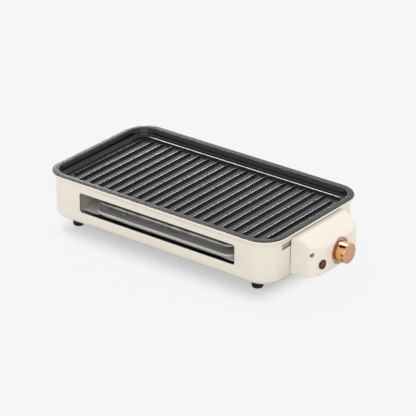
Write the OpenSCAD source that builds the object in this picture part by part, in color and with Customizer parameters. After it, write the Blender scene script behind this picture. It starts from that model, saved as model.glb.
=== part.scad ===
// Electric indoor grill: a removable ribbed pan on a cream steel body, with a heating element,
// a drip tray that slides out of the front window, and a control box on one end.
// Millimetres. The long side lies along X, the window faces -Y, the control box is at +X.
// The origin is on the table, under the middle of the whole object's box.

/* [Rim] */
// Length of the pan's rim
rim_length = 430; // [424:1:436]
// Width of the pan's rim
rim_width = 237.8; // [234:0.2:242]
// Height of the pan's rim above the table
rim_height = 89.6; // [89:0.1:92]
// Outer corner radius of the pan's rim
rim_corner = 38.6; // [37:0.2:41]

/* [Body shell] */
// How far the wall stands back from the pan's rim
wall_inset = 4.7; // [4.4:0.1:5.2]
// Thickness of the steel sheet
shell_t = 1.2; // [1:0.1:1.4]
// Gap between the table and the underside of the shell
ground_gap = 16.6; // [15:0.2:17]
// Radius of the bend between the wall and the underside
bottom_bend = 8; // [7:0.5:9]
// Radius of the flare under the lip
flare_r = 12; // [11:0.5:13]
// Length of the front window
window_length = 294; // [284:1:296]
// Height of the front window
window_height = 32.4; // [30:0.2:33]
// Height of the window's sill above the table
window_sill = 37.8; // [37:0.1:38]
// How far the window's middle stands towards the control box
window_shift = 1.5; // [0:0.5:3]
// Corner radius of the window
window_corner = 4.5; // [3:0.5:6]

/* [Grill pan] */
// Depth from the rim to the floor of the pan
pan_depth = 13; // [12:0.5:14]
// Thickness of the cast metal
pan_t = 2.6; // [2.2:0.1:2.8]
// Width of the pan's flat rim
pan_flange = 10.1; // [9.5:0.1:11]
// Number of raised ribs
rib_count = 21; // [15:2:21]
// Distance from one rib to the next
rib_pitch = 18.25; // [16:0.25:18.5]
// Width of a rib
rib_w = 3.2; // [2.6:0.1:4]
// Height of a rib above the floor
rib_h = 3.2; // [2:0.1:4]
// Length of a rib
rib_length = 180; // [160:1:184]
// Length of the first and the last rib
end_rib_length = 162; // [140:1:164]

/* [Drip tray] */
// Length of the drip tray
tray_length = 268; // [260:1:272]
// Width of the drip tray, from front to back
tray_width = 204; // [196:1:206]
// Height of the drip tray
tray_height = 8; // [6:0.2:9]
// Thickness of the tray's sheet
tray_t = 0.8; // [0.6:0.1:1]

/* [Heating element] */
// Outer diameter of the sheathed element
tube_d = 6.6; // [6:0.1:6.8]
// Height of the element's axis above the table
tube_z = 55; // [54.6:0.1:56]

/* [Control box] */
// Width of the control box at its back
box_width = 126; // [125:0.5:127]
// Angle by which each of its sides leans inwards on the way to the front panel
box_taper = 7.9; // [7.3:0.1:8.3]
// Distance of the control box's middle from the body's middle
box_y = 1; // [0.5:0.5:1.5]
// Height of the control box's underside above the table
box_bottom = 23; // [22:0.5:23.5]
// Height of the control box's flat top above the table
box_top = 82.4; // [82:0.1:82.6]
// How far the flat middle of the front panel stands out from the end wall
box_reach = 41.1; // [41:0.1:41.6]
// Width of the panel's flat middle
panel_flat_w = 54; // [52:1:56]
// Radius of the curve at both ends of the panel
panel_r = 60; // [58:1:63]
// Wall thickness of the moulded box
box_t = 2.4; // [2.2:0.1:2.6]

/* [Knob and lamp] */
// Diameter of the knob
knob_d = 31.5; // [30:0.5:33]
// How far the knob stands out from the panel
knob_out = 16.6; // [16:0.2:17.4]
// Distance of the knob's axis from the body's middle
knob_y = 6.3; // [5.5:0.1:7]
// Height of the knob's axis above the table
knob_z = 46; // [45.6:0.1:46.4]
// Diameter of the round recess behind the knob
recess_d = 40.6; // [40:0.2:41]
// Depth of that recess
recess_depth = 5.4; // [5:0.1:5.6]
// Diameter of the lamp's lens
lens_d = 12.4; // [11.6:0.2:12.6]

/* [Feet] */
// Diameter of a foot
foot_d = 19; // [17:0.5:20]
// Distance of the feet from the body's middle along its length
foot_x = 171; // [168:1:174]
// Distance of the feet from the body's middle across its width
foot_y = 87.5; // [85:0.5:89]

/* [Hidden] */
$fn = 64;

// Gap kept between pieces that move against each other
gap = 0.3;
// Amount by which a cutter runs past the face it cuts
over = 1;
// Colours of the finishes
cream = "#E9E0D0";
coating = "#3A3A3B";
bare_steel = "#B9BCBE";
dull_steel = "#8E9194";
black_rubber = "#1B1B1B";
black_plastic = "#222222";
ceramic_white = "#EDEBE4";
copper = "#D59A6C";
brass_yellow = "#C9A75A";
lens_red = "#7A1420";

// Shell wall: half sizes of its outer face, and its corner radius
wall_x = rim_length / 2 - wall_inset;
wall_y = rim_width / 2 - wall_inset;
wall_r = rim_corner - wall_inset;
lip_reach = wall_inset + 0.9;
lip_top = rim_height - 1.8;
lip_edge = 2.4;
flare_z = lip_top - 12.15;
flange_in = 16;
floor_z = ground_gap + shell_t;

// Whole object's box along X, and the shift that puts its middle at the origin
box_face_x = wall_x + box_reach;
knob_tip_x = box_face_x + knob_out;
shift_x = (wall_x + lip_reach - knob_tip_x) / 2;

// Sheet parts inside the body
sheet = 0.8;
plate_t = 1.2;
plate_margin = bottom_bend + 1;
plate_top = floor_z + plate_t;
bay_left = window_shift - window_length / 2 - 4;
bay_right = window_shift + window_length / 2 + 5;
bay_front = -wall_y + 10;
bay_back = 101;
liner_top = 72;
liner_foot = 6;
rail_top = window_sill + 0.5;
rail_reach = 33;
tray_floor = rail_top + gap;
tray_front = -wall_y + 4.6;
tray_x = 8;
tray_y = tray_front + tray_width / 2;
tray_corner = 12;
tray_rim = 2.2;
tray_bead_pitch = 34;
tray_bead_w = 9;
tray_bead_h = 1.4;

// Screws: shank radius, head radius, and the play of the holes they pass
screw_r = 1.7;
screw_head_r = 3.4;
hole_play = 0.1;
base_screw_x = 164;
base_screw_y = 48;
base_screw_in = 12;
base_screw_spots = [
    for (sx = [-1, 1], sy = [-1, 1]) [sx * base_screw_x, sy * (wall_y - base_screw_in)],
    for (sx = [-1, 1], sy = [-1, 1]) [sx * (wall_x - base_screw_in), sy * base_screw_y]
];
foot_spots = [for (sx = [-1, 1], sy = [-1, 1]) [sx * foot_x, sy * foot_y]];
foot_sink = 8;

// Air slots of the base plate: width, length, pitch along X and distance of each row from the middle
air_slot_w = 4;
air_slot_len = 34;
air_slot_pitch = 26;
air_slot_row = 40;

// Heating element: four runs along X, joined by half-circle bends
run_out = 96.5;
run_in = 32;
bend_r = (run_out - run_in) / 2;
bend_mid = (run_out + run_in) / 2;
left_bend_x = -106;
right_bend_x = 84;
corner_x = 118;
corner_r = 14;
riser_x = corner_x + corner_r;
exit_x = riser_x + corner_r;
tube_end_x = wall_x + 12;
strip_top = tube_z - tube_d / 2;
clip_w = 8;
spacer_left_x = -70;
spacer_right_x = 10;

// Control box: its sides lean inwards, and small round corners lead to the curved panel
box_half = box_width / 2;
box_front = box_y - box_half;
box_rear = box_y + box_half;
gasket_t = 2;
gasket_in = 0.9;
box_back = wall_x + gasket_t;
flare_gap = 0.5;
panel_flat = panel_flat_w / 2;
panel_x = box_face_x - panel_r;
box_corner = 4;
side_d = box_back * sin(box_taper) + box_half * cos(box_taper);
corner_reach = panel_r - box_corner;
corner_turn = asin((side_d - box_corner - panel_x * sin(box_taper)
                    - panel_flat * cos(box_taper)) / corner_reach) - box_taper;
corner_mid = [panel_x + corner_reach * cos(corner_turn), panel_flat + corner_reach * sin(corner_turn)];

// Slope from the box's flat top to its panel
slope_r = 150;
slope_start = [wall_x + 8.7, box_top];
slope_end = [box_face_x + 1, box_top - 18.2];
slope_mid = (slope_start + slope_end) / 2;
slope_chord = slope_end - slope_start;
slope_len = norm(slope_chord);
slope_drop = sqrt(slope_r * slope_r - slope_len * slope_len / 4);
slope_centre = slope_mid + slope_drop * [slope_chord[1], -slope_chord[0]] / slope_len;

// Long screws of the box, sunk in its panel
screw_off = 54;
screw_spots = [box_y - screw_off, box_y + screw_off];
screw_spot_z = 59;
boss_r = 4.8;
sink_r = 3.7;
screw_sink = 4.2;
screw_seat_x = panel_out(box_y + screw_off) - screw_sink;

// Knob and thermostat
panel_floor_x = box_face_x - recess_depth;
groove_w = 2.8;
groove_depth = 1.6;
knob_back_x = panel_floor_x + 1.2;
knob_t = 1.2;
knob_bevel = 0.8;
face_sink = 0.6;
spindle_r = 3;
spindle_tip_x = knob_tip_x - 5;
bush_r = 5;
nut_d = 13;
nut_t = 2.2;
block_x1 = panel_floor_x - box_t;
block_x0 = block_x1 - 17.6;
block_half = 17;
block_up = 9;

// Lamp
lamp_y = -36.6;
lamp_z = 39.9;
lamp_x = panel_out(lamp_y);
lamp_depth = 16;
lens_out = 1.2;
bezel_d = lens_d + 1.8;
bezel_sink = 2;
bezel_out = 1.5;
bezel_bevel = 0.4;
tube_depth = 7;

// Power inlet, its flat pad in the box's rear side, and its three pins
inlet_x = wall_x + 11.8;
inlet_z = 39.4;
pad_x = 9;
pad_z = 15;
pad_depth = 4.2;
pin_gap = 6.5;
pin_r = 1.2;

// Slot and opening of the end wall, the brace and the plate at them
slot_y = 66;
slot_len = 32;
slot_z = 72;
slot_high = 9;
brace_x = wall_x - 4.2;
brace_t = 1.5;
brace_half = 5.2;
brace_bead = 0.9;
brace_front = -slot_y - 15;
brace_rear = box_y + screw_off + 6;
plate_cut_y = 44;
plate_cut_z0 = 42;
plate_cut_z1 = 68;
plate_x1 = wall_x + 1.5;

// Sensor bulb under the pan
bulb_x0 = 60;
bulb_x1 = 120;
bulb_r = 2.5;
bulb_z = 66;

// Terminal block and wires in the box
inner_floor = box_bottom + box_t;
terminal_x = box_back + 11;
terminal_half = 7;
terminal_y0 = -50;
terminal_y1 = -20;
terminal_top = inner_floor + 16;
clamp_gap = 9;
tab_x = tube_end_x + 6.5;
wire_r = 1;
thin_wire_r = 0.8;
earth_y = 14;
earth_z = plate_cut_z0 + 1;

// Points on an arc, from one angle to the other
function arc(cx, cy, r, a0, a1, n) =
    [for (i = [0:n]) let (a = a0 + (a1 - a0) * i / n) [cx + r * cos(a), cy + r * sin(a)]];

// How far out the panel's surface lies at a distance from the body's middle
function panel_out(y) =
    let (off = max(0, abs(y - box_y) - panel_flat))
    panel_x + sqrt(panel_r * panel_r - off * off);

// Moves a piece from the body's frame to the object's frame
module placed() {
    translate([shift_x, 0, 0]) children();
}

// Rectangle with round corners, about the origin
module rounded_rect(lx, ly, r) {
    square([lx - 2 * r, ly], center = true);
    square([lx, ly - 2 * r], center = true);
    for (sx = [-1, 1], sy = [-1, 1]) {
        translate([sx * (lx / 2 - r), sy * (ly / 2 - r)]) circle(r);
    }
}

// Long hole or bar with round ends, along Y, about the origin
module stadium(w, l) {
    square([w, l - w], center = true);
    for (side = [-1, 1]) {
        translate([0, side * (l - w) / 2]) circle(w / 2);
    }
}

// Plate with round corners that stands on z = 0
module rounded_plate(lx, ly, r, h) {
    linear_extrude(height = h) rounded_rect(lx, ly, r);
}

// Sweeps a section round a rectangle with round corners; the section's x is the
// distance outwards from that line and its y is the height
module swept_ring(half_x, half_y, r) {
    for (turn = [0, 180]) {
        rotate([0, 0, turn]) {
            translate([half_x, half_y - r, 0]) rotate([90, 0, 0])
                linear_extrude(height = 2 * (half_y - r)) children();
            translate([0, half_y, 0]) rotate([90, 0, 90])
                translate([0, 0, r - half_x]) linear_extrude(height = 2 * (half_x - r)) children();
            translate([half_x - r, half_y - r, 0])
                rotate_extrude(angle = 90) translate([r, 0]) children();
            translate([r - half_x, half_y - r, 0]) rotate([0, 0, 90])
                rotate_extrude(angle = 90) translate([r, 0]) children();
        }
    }
}

// Round bar from x0 to x1 along X
module bar_x(x0, x1, y, z, r) {
    translate([x0, y, z]) rotate([0, 90, 0]) cylinder(r = r, h = x1 - x0);
}

// Block between two opposite corners
module block(low, high) {
    translate(low) cube(high - low);
}

// Round wire through a row of points, with ball joints at its bends
module wire(points, r) {
    for (i = [0 : len(points) - 2]) {
        step = points[i + 1] - points[i];
        length = norm(step);
        turn = atan2(step[1], step[0]);
        lean = acos(step[2] / length);
        translate(points[i]) rotate([0, lean, turn]) cylinder(r = r, h = length, $fn = 24);
    }
    for (i = [1 : len(points) - 2]) {
        translate(points[i]) sphere(r = 1.06 * r, $fn = 24);
    }
}

// Screw along Z: a flat head below z = 0 and a shank above it
module screw_up(length, head_h) {
    translate([0, 0, -head_h]) cylinder(r = screw_head_r, h = head_h);
    cylinder(r = screw_r, h = length);
}

// Section of the shell's sheet, from the flange underneath to the lip
module shell_section() {
    bend_top = ground_gap + bottom_bend;
    reach = lip_reach - 0.6;
    swing = acos(1 - reach / flare_r);
    inner_r = flare_r + shell_t;
    inner_swing = acos((flare_r - lip_reach + lip_edge + shell_t / 2) / inner_r);
    polygon(concat(
        [[-flange_in, ground_gap]],
        arc(-bottom_bend, bend_top, bottom_bend, 270, 360, 6),
        arc(flare_r, flare_z, flare_r, 180, 180 - swing, 6),
        [[lip_reach, lip_top - 1.9], [lip_reach, lip_top - 0.5], [lip_reach - 0.5, lip_top]],
        [[lip_reach - lip_edge - shell_t / 2, lip_top]],
        arc(flare_r, flare_z, inner_r, 180 - inner_swing, 180, 6),
        arc(-bottom_bend, bend_top, bottom_bend - shell_t, 360, 270, 6),
        [[-flange_in, floor_z]]
    ));
}

// Cream sheet-steel body: wall, flared lip and the flange under it
module body_shell() {
    placed() color(cream) difference() {
        swept_ring(wall_x, wall_y, wall_r) shell_section();
        // Front window
        translate([window_shift, 10 - wall_y, window_sill + window_height / 2])
            rotate([90, 0, 0]) linear_extrude(height = 20)
                rounded_rect(window_length, window_height, window_corner);
        // Slot beside the control box, on the window's side
        block([wall_x - 10, -slot_y - slot_len / 2, slot_z - slot_high / 2],
              [wall_x + 10, -slot_y + slot_len / 2, slot_z + slot_high / 2]);
        // Opening for the element's ends and the wires, behind the control box
        block([wall_x - 10, -plate_cut_y, plate_cut_z0], [wall_x + 10, plate_cut_y, plate_cut_z1]);
        // Holes of the control box's long screws
        for (y = screw_spots) {
            bar_x(wall_x - 10, wall_x + 10, y, screw_spot_z, screw_r + hole_play);
        }
        // Holes of the base plate's screws
        for (spot = base_screw_spots) {
            translate([spot[0], spot[1], 0]) cylinder(r = screw_r + hole_play, h = plate_top);
        }
    }
}

// Steel plate that closes the underside, with rows of air slots
module base_plate() {
    placed() color(dull_steel) difference() {
        translate([0, 0, floor_z])
            rounded_plate(2 * (wall_x - plate_margin), 2 * (wall_y - plate_margin),
                          wall_r - plate_margin, plate_t);
        for (col = [-5 : 5], row = [-1, 1]) {
            translate([col * air_slot_pitch, row * air_slot_row, floor_z - over])
                linear_extrude(height = plate_t + 2 * over) stadium(air_slot_w, air_slot_len);
        }
        for (spot = concat(base_screw_spots, foot_spots)) {
            translate([spot[0], spot[1], 0]) cylinder(r = screw_r + hole_play / 2, h = plate_top + over);
        }
    }
}

// Eight screws that hold the base plate to the shell's flange
module base_screws() {
    placed() color(bare_steel) for (spot = base_screw_spots) {
        translate([spot[0], spot[1], ground_gap]) screw_up(5, 1.4);
    }
}

// Rubber foot with a sunk hole for its screw
module foot(spot) {
    placed() color(black_rubber) translate([spot[0], spot[1], 0]) difference() {
        union() {
            cylinder(r1 = foot_d / 2 - 1.6, r2 = foot_d / 2 - 0.6, h = 3);
            translate([0, 0, 3]) cylinder(r1 = foot_d / 2 - 0.6, r2 = foot_d / 2, h = floor_z - 3);
        }
        translate([0, 0, -over]) cylinder(r = screw_head_r + 0.6, h = foot_sink + over);
        cylinder(r = screw_r + hole_play / 2, h = floor_z + over);
    }
}
module foot_front_left() { foot([-foot_x, -foot_y]); }
module foot_front_right() { foot([foot_x, -foot_y]); }
module foot_rear_left() { foot([-foot_x, foot_y]); }
module foot_rear_right() { foot([foot_x, foot_y]); }

// Screws that hold the feet to the base plate
module foot_screws() {
    placed() color(bare_steel) for (spot = foot_spots) {
        translate([spot[0], spot[1], foot_sink]) screw_up(13, 2);
    }
}

// Section of the pan's rim, wall and foot bend
module pan_section() {
    floor_top = rim_height - pan_depth;
    foot_r = 4.5;
    draft = 3;
    top_in = -pan_flange;
    foot_in = top_in - draft;
    bead = 4.4;
    rim_low = lip_top + gap;
    polygon(concat(
        [[0, rim_low], [0, rim_height - 0.9], [-0.5, rim_height - 0.5], [-bead, rim_height - 0.5]],
        [[-bead - 0.4, rim_height], [top_in + 0.4, rim_height], [top_in, rim_height - 0.4]],
        arc(foot_in - foot_r, floor_top + foot_r, foot_r, 0, -90, 6),
        [[-30, floor_top], [-30, floor_top - pan_t]],
        arc(foot_in - foot_r, floor_top + foot_r, foot_r + pan_t, -90, -8, 6),
        [[top_in + pan_t, rim_low - 1.2], [top_in + pan_t + 0.8, rim_low]]
    ));
}

// Removable cast grill pan: flat rim, wall, floor and raised ribs
module grill_pan() {
    floor_top = rim_height - pan_depth;
    placed() color(coating) union() {
        swept_ring(rim_length / 2, rim_width / 2, rim_corner) pan_section();
        translate([0, 0, floor_top - pan_t])
            rounded_plate(rim_length - 56, rim_width - 56, rim_corner - 28, pan_t);
        for (i = [0 : rib_count - 1]) {
            at_end = i == 0 || i == rib_count - 1;
            length = at_end ? end_rib_length : rib_length;
            translate([(i - (rib_count - 1) / 2) * rib_pitch, 0, floor_top - over])
                linear_extrude(height = rib_h + over) stadium(rib_w, length);
        }
    }
}

// Section of the tray's rolled rim and wall
module tray_section() {
    wall_foot = 2;
    top = tray_floor + tray_height;
    polygon([
        [0, top - 1.6], [0, top - 0.4], [-0.4, top], [-tray_rim, top], [-tray_rim - 0.8, top - 0.6],
        [-tray_rim - 1.2 - wall_foot, tray_floor + tray_t], [-20, tray_floor + tray_t],
        [-20, tray_floor], [-tray_rim - 0.6 - wall_foot, tray_floor],
        [-tray_rim, top - tray_t], [-tray_t, top - tray_t], [-tray_t, top - 1.6]
    ]);
}

// Shallow drip tray that slides out of the window, with long stiffening beads
module drip_tray() {
    floor_x = tray_length - 36;
    floor_y = tray_width - 36;
    placed() color(bare_steel) translate([tray_x, tray_y, 0]) union() {
        swept_ring(tray_length / 2, tray_width / 2, tray_corner + 9) tray_section();
        translate([0, 0, tray_floor]) rounded_plate(floor_x, floor_y, 3, tray_t);
        for (row = [-2 : 2]) {
            translate([0, row * tray_bead_pitch, tray_floor + tray_t / 2]) rotate([0, 0, 90])
                linear_extrude(height = tray_bead_h) stadium(tray_bead_w, tray_length - 70);
        }
    }
}

// Steel angle that carries one end of the tray
module rail(inner_x, outer_x, wall_side) {
    color(bare_steel) union() {
        block([inner_x, bay_front, rail_top - sheet], [outer_x, bay_back - 1, rail_top]);
        block([wall_side, bay_front, rail_top - 8], [wall_side + sheet, bay_back - 1, rail_top]);
    }
}
module rail_left() {
    placed() rail(bay_left, bay_left + rail_reach, bay_left);
}
module rail_right() {
    placed() rail(bay_right - rail_reach, bay_right, bay_right - sheet);
}

// Upright reflector sheet with a foot bent outwards
module liner_left() {
    placed() color(bare_steel) union() {
        block([bay_left - sheet, bay_front, plate_top], [bay_left, bay_back, liner_top]);
        block([bay_left - liner_foot, bay_front, plate_top], [bay_left, bay_back, plate_top + sheet]);
    }
}
module liner_right() {
    placed() color(bare_steel) difference() {
        union() {
            block([bay_right, bay_front, plate_top], [bay_right + sheet, bay_back, liner_top]);
            block([bay_right, bay_front, plate_top], [bay_right + liner_foot, bay_back, plate_top + sheet]);
        }
        for (side = [-1, 1]) {
            bar_x(bay_right - over, bay_right + sheet + over, side * run_in, tube_z, tube_d / 2 + 0.6);
        }
        bar_x(bay_right - over, bay_right + sheet + over, 0, bulb_z, 2);
    }
}
module liner_back() {
    placed() color(bare_steel) union() {
        block([bay_left, bay_back, plate_top], [bay_right, bay_back + sheet, liner_top]);
        block([bay_left, bay_back - 8, liner_top - sheet], [bay_right, bay_back + sheet, liner_top]);
    }
}

// Beaded brace behind the end wall and its slot, on two standoffs
module end_brace() {
    placed() color(bare_steel) difference() {
        union() {
            block([brace_x, brace_front, slot_z - brace_half],
                  [brace_x + brace_t, brace_rear, slot_z + brace_half]);
            for (rise = [-2.2, 2.2]) {
                block([brace_x, brace_front + 2, slot_z + rise - 0.8],
                      [brace_x + brace_t + brace_bead, brace_rear - 2, slot_z + rise + 0.8]);
            }
            for (y = screw_spots) {
                block([brace_x, y - 6, screw_spot_z - 6], [brace_x + brace_t, y + 6, slot_z]);
                bar_x(brace_x, wall_x - shell_t, y, screw_spot_z, 4);
            }
        }
        for (y = screw_spots) {
            bar_x(brace_x - over, wall_x, y, screw_spot_z, screw_r + hole_play / 2);
        }
    }
}

// Bend of the element in the level plane
module tube_bend(x, y, r, from, sweep) {
    translate([x, y, tube_z]) rotate([0, 0, from])
        rotate_extrude(angle = sweep) translate([r, 0]) circle(tube_d / 2);
}

// One sheathed element: four runs, three half-circle bends, and two ends that leave at +X
module heater_tube() {
    tube_r = tube_d / 2;
    placed() color(dull_steel) union() {
        for (side = [-1, 1]) {
            bar_x(left_bend_x, corner_x, side * run_out, tube_z, tube_r);
            bar_x(left_bend_x, right_bend_x, side * run_in, tube_z, tube_r);
            bar_x(exit_x, tube_end_x, side * run_in, tube_z, tube_r);
            tube_bend(left_bend_x, side * bend_mid, bend_r, 90, 180);
            tube_bend(corner_x, side * (run_out - corner_r), corner_r, side > 0 ? 0 : 270, 90);
            tube_bend(exit_x, side * (run_in + corner_r), corner_r, side > 0 ? 180 : 90, 90);
            translate([riser_x, side * (run_out + run_in) / 2, tube_z]) rotate([90, 0, 0])
                cylinder(r = tube_r, h = run_out - run_in - 2 * corner_r, center = true);
        }
        tube_bend(right_bend_x, 0, run_in, 270, 180);
    }
}

// Flat strip across the four runs, with a ring round each
module heater_spacer(x) {
    placed() color(bare_steel) difference() {
        union() {
            block([x - clip_w / 2, -run_out - 4.3, strip_top - 1.5],
                  [x + clip_w / 2, run_out + 4.3, strip_top - 0.2]);
            for (y = [-run_out, -run_in, run_in, run_out]) {
                bar_x(x - clip_w / 2, x + clip_w / 2, y, tube_z, tube_d / 2 + 0.9);
            }
        }
        for (y = [-run_out, -run_in, run_in, run_out]) {
            bar_x(x - clip_w, x + clip_w, y, tube_z, tube_d / 2 + 0.05);
        }
    }
}
module heater_spacer_left() { heater_spacer(spacer_left_x); }
module heater_spacer_right() { heater_spacer(spacer_right_x); }

// Two hangers that hold the left bends to the left liner
module heater_hangers() {
    ring_x = left_bend_x - bend_r;
    ring_w = 5;
    placed() color(bare_steel) for (side = [-1, 1]) {
        difference() {
            union() {
                block([bay_left, side * bend_mid - 4, strip_top - 1.7],
                      [ring_x, side * bend_mid + 4, strip_top - 0.5]);
                block([bay_left, side * bend_mid - 4, strip_top - 10],
                      [bay_left + 1, side * bend_mid + 4, strip_top - 0.5]);
                translate([ring_x, side * bend_mid, tube_z]) rotate([90, 0, 0])
                    cylinder(r = tube_d / 2 + 1.3, h = ring_w, center = true);
            }
            translate([ring_x, side * bend_mid, tube_z]) rotate([90, 0, 0])
                cylinder(r = tube_d / 2 + 0.25, h = ring_w + 4, center = true);
        }
    }
}

// Plate over the end wall's opening, with holes for the element's bushes
module heater_plate() {
    placed() color(bare_steel) difference() {
        block([wall_x, -plate_cut_y - 2, plate_cut_z0 - 3], [plate_x1, plate_cut_y + 2, plate_cut_z1 + 2]);
        for (side = [-1, 1]) {
            bar_x(wall_x - over, plate_x1 + over, side * run_in, tube_z, 6);
        }
        bar_x(wall_x - over, plate_x1 + over, 0, bulb_z, 2);
    }
}

// Ceramic bushes round the element's ends
module heater_bushes() {
    placed() color(ceramic_white) for (side = [-1, 1]) {
        difference() {
            union() {
                bar_x(wall_x - 5, plate_x1, side * run_in, tube_z, 5.95);
                bar_x(plate_x1, plate_x1 + 4, side * run_in, tube_z, 7);
            }
            bar_x(wall_x - 6, plate_x1 + 5, side * run_in, tube_z, tube_d / 2 + 0.02);
        }
    }
}

// Terminal pins with flat tabs at the element's ends
module heater_terminals() {
    placed() color(bare_steel) for (side = [-1, 1]) {
        bar_x(tube_end_x, tube_end_x + 4, side * run_in, tube_z, 1.2);
        block([tube_end_x + 3, side * run_in - 0.4, tube_z - 3],
              [tube_end_x + 10, side * run_in + 0.4, tube_z + 3]);
    }
}

// Outline of the control box from above, set in by a margin
module box_outline(margin) {
    corner = box_corner - margin;
    face_r = panel_r - margin;
    face_x = box_face_x - margin;
    back_y = (side_d - margin - wall_x * sin(box_taper)) / cos(box_taper);
    side_x = corner_mid[0] + corner * sin(box_taper);
    side_y = corner_mid[1] + corner * cos(box_taper);
    turn_x = panel_x + face_r * cos(corner_turn);
    turn_y = panel_flat + face_r * sin(corner_turn);
    near = panel_r - 20;
    far = 1.1 * panel_r;
    // The curved ends cross the flat middle at a slight angle
    crossing = 0.02;
    translate([0, box_y]) {
        polygon([
            [wall_x, -back_y], [side_x, -side_y], [turn_x, -turn_y], [face_x, -panel_flat],
            [face_x, panel_flat], [turn_x, turn_y], [side_x, side_y], [wall_x, back_y]
        ]);
        for (side = [-1, 1]) {
            translate([corner_mid[0], side * corner_mid[1]]) circle(corner);
            translate([panel_x, side * panel_flat]) intersection() {
                circle(face_r + crossing, $fn = 180);
                polygon([
                    [near, 0], [face_r, 0], [face_r, side * 6],
                    [far * cos(corner_turn), side * far * sin(corner_turn)],
                    [near * cos(corner_turn), side * near * sin(corner_turn)]
                ]);
            }
        }
    }
}

// Side view of the control box: x is the way out from the wall, y is the height
module box_side(margin) {
    follow_r = flare_r - flare_gap - margin;
    swing = asin((box_top - margin - flare_z) / follow_r);
    intersection() {
        polygon(concat(
            [[box_back, box_bottom + margin], [box_face_x + 5, box_bottom + margin]],
            [[box_face_x + 5, box_top - margin]],
            arc(wall_x + flare_r, flare_z, follow_r, 180 - swing, 180, 6),
            [[box_back, flare_z]]
        ));
        translate(slope_centre) circle(slope_r - margin, $fn = 180);
    }
}

// Solid form of the control box, set in by a margin
module box_form(margin) {
    intersection() {
        linear_extrude(height = 120) box_outline(margin);
        translate([0, box_width, 0]) rotate([90, 0, 0])
            linear_extrude(height = 2 * box_width) box_side(margin);
    }
}

// Places a piece of the lamp, looking straight out of the panel
module at_lamp() {
    translate([lamp_x, lamp_y, lamp_z]) rotate([0, 90, 0]) children();
}

// Moulded cream box: hollow, open towards the wall, with the knob's recess and the screw bosses
module control_housing() {
    placed() color(cream) difference() {
        union() {
            difference() {
                box_form(0);
                box_form(box_t);
                block([box_back - over, box_front + 4, inner_floor],
                      [box_back + box_t + over, box_rear - 4, flare_z - 2]);
            }
            intersection() {
                box_form(0);
                union() {
                    bar_x(panel_floor_x - box_t, box_face_x, knob_y, knob_z, recess_d / 2 + box_t);
                    for (y = screw_spots) {
                        bar_x(box_back, box_face_x, y, screw_spot_z, boss_r);
                    }
                    bar_x(lamp_x - tube_depth, box_face_x, lamp_y, lamp_z, bezel_d / 2 + 1.6);
                }
            }
            // Flat pad of the power inlet, set in the leaning rear side
            block([inlet_x - pad_x, box_rear - pad_depth, inlet_z - pad_z],
                  [inlet_x + pad_x, box_rear, inlet_z + pad_z]);
        }
        // Recess of the knob, with a groove round its floor, and the hole behind it
        bar_x(panel_floor_x, box_face_x + over, knob_y, knob_z, recess_d / 2);
        difference() {
            bar_x(panel_floor_x - groove_depth, box_face_x, knob_y, knob_z, recess_d / 2 - 0.3);
            bar_x(panel_floor_x - box_t, box_face_x + over, knob_y, knob_z, recess_d / 2 - groove_w);
        }
        bar_x(panel_floor_x - box_t - over, box_face_x, knob_y, knob_z, bush_r + hole_play);
        // Long screws: sunk head and shank
        for (y = screw_spots) {
            bar_x(screw_seat_x, box_face_x, y, screw_spot_z, sink_r);
            bar_x(box_back - over, box_face_x, y, screw_spot_z, screw_r + hole_play);
        }
        // Hole of the lamp and the flat seat of its bezel
        bar_x(lamp_x - tube_depth - over, box_face_x + over, lamp_y, lamp_z, lens_d / 2 + 0.5);
        bar_x(lamp_x - bezel_sink, box_face_x + over, lamp_y, lamp_z, bezel_d / 2 + 0.1);
        // Opening of the power inlet in the rear side
        block([inlet_x - 7.1, box_rear - 10, inlet_z - 12.1],
              [inlet_x + 7.1, box_rear + over, inlet_z + 12.1]);
    }
}

// Thin gasket between the control box and the end wall
module housing_gasket() {
    placed() color(black_rubber) difference() {
        block([wall_x, box_front + gasket_in, box_bottom + gasket_in],
              [box_back, box_rear - gasket_in, flare_z - gasket_in]);
        block([wall_x - over, box_front + 5, box_bottom + 5],
              [box_back + over, box_rear - 5, flare_z - 5]);
    }
}

// Long screws that hold the control box to the brace behind the wall
module housing_screws() {
    placed() color(bare_steel) for (y = screw_spots) {
        bar_x(brace_x - 3, screw_seat_x, y, screw_spot_z, screw_r);
        bar_x(screw_seat_x, screw_seat_x + 2, y, screw_spot_z, screw_head_r);
    }
}

// Copper-finished knob shell, open at the back
module knob() {
    r = knob_d / 2;
    ring_r = r - 2 * knob_bevel;
    floor_x = knob_tip_x - face_sink;
    placed() color(copper) translate([0, knob_y, knob_z]) rotate([0, 90, 0])
        rotate_extrude($fn = 96) polygon([
            [r - knob_t, knob_back_x], [r - 0.4, knob_back_x], [r, knob_back_x + 0.4],
            [r, knob_tip_x - knob_bevel], [r - knob_bevel, knob_tip_x], [ring_r, knob_tip_x],
            [ring_r, floor_x], [0, floor_x], [0, floor_x - knob_t], [r - knob_t, floor_x - knob_t]
        ]);
}

// Brushed disc set into the knob's front
module knob_face() {
    placed() color(copper) bar_x(knob_tip_x - face_sink, knob_tip_x - face_sink / 4, knob_y, knob_z,
                                 knob_d / 2 - 2 * knob_bevel - 0.05);
}

// Plastic hub inside the knob, which grips the spindle
module knob_hub() {
    hub_x1 = knob_tip_x - face_sink - knob_t;
    placed() color(black_plastic) difference() {
        bar_x(knob_back_x + 0.6, hub_x1, knob_y, knob_z, knob_d / 2 - knob_t - 0.02);
        bar_x(knob_back_x, panel_floor_x + nut_t + 1.4, knob_y, knob_z, nut_d / 2 + 1);
        bar_x(knob_back_x, spindle_tip_x + 0.2, knob_y, knob_z, spindle_r + 0.01);
    }
}

// Steel spindle that the knob turns
module thermostat_spindle() {
    placed() color(bare_steel) bar_x(block_x1 - 6, spindle_tip_x, knob_y, knob_z, spindle_r);
}

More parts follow.
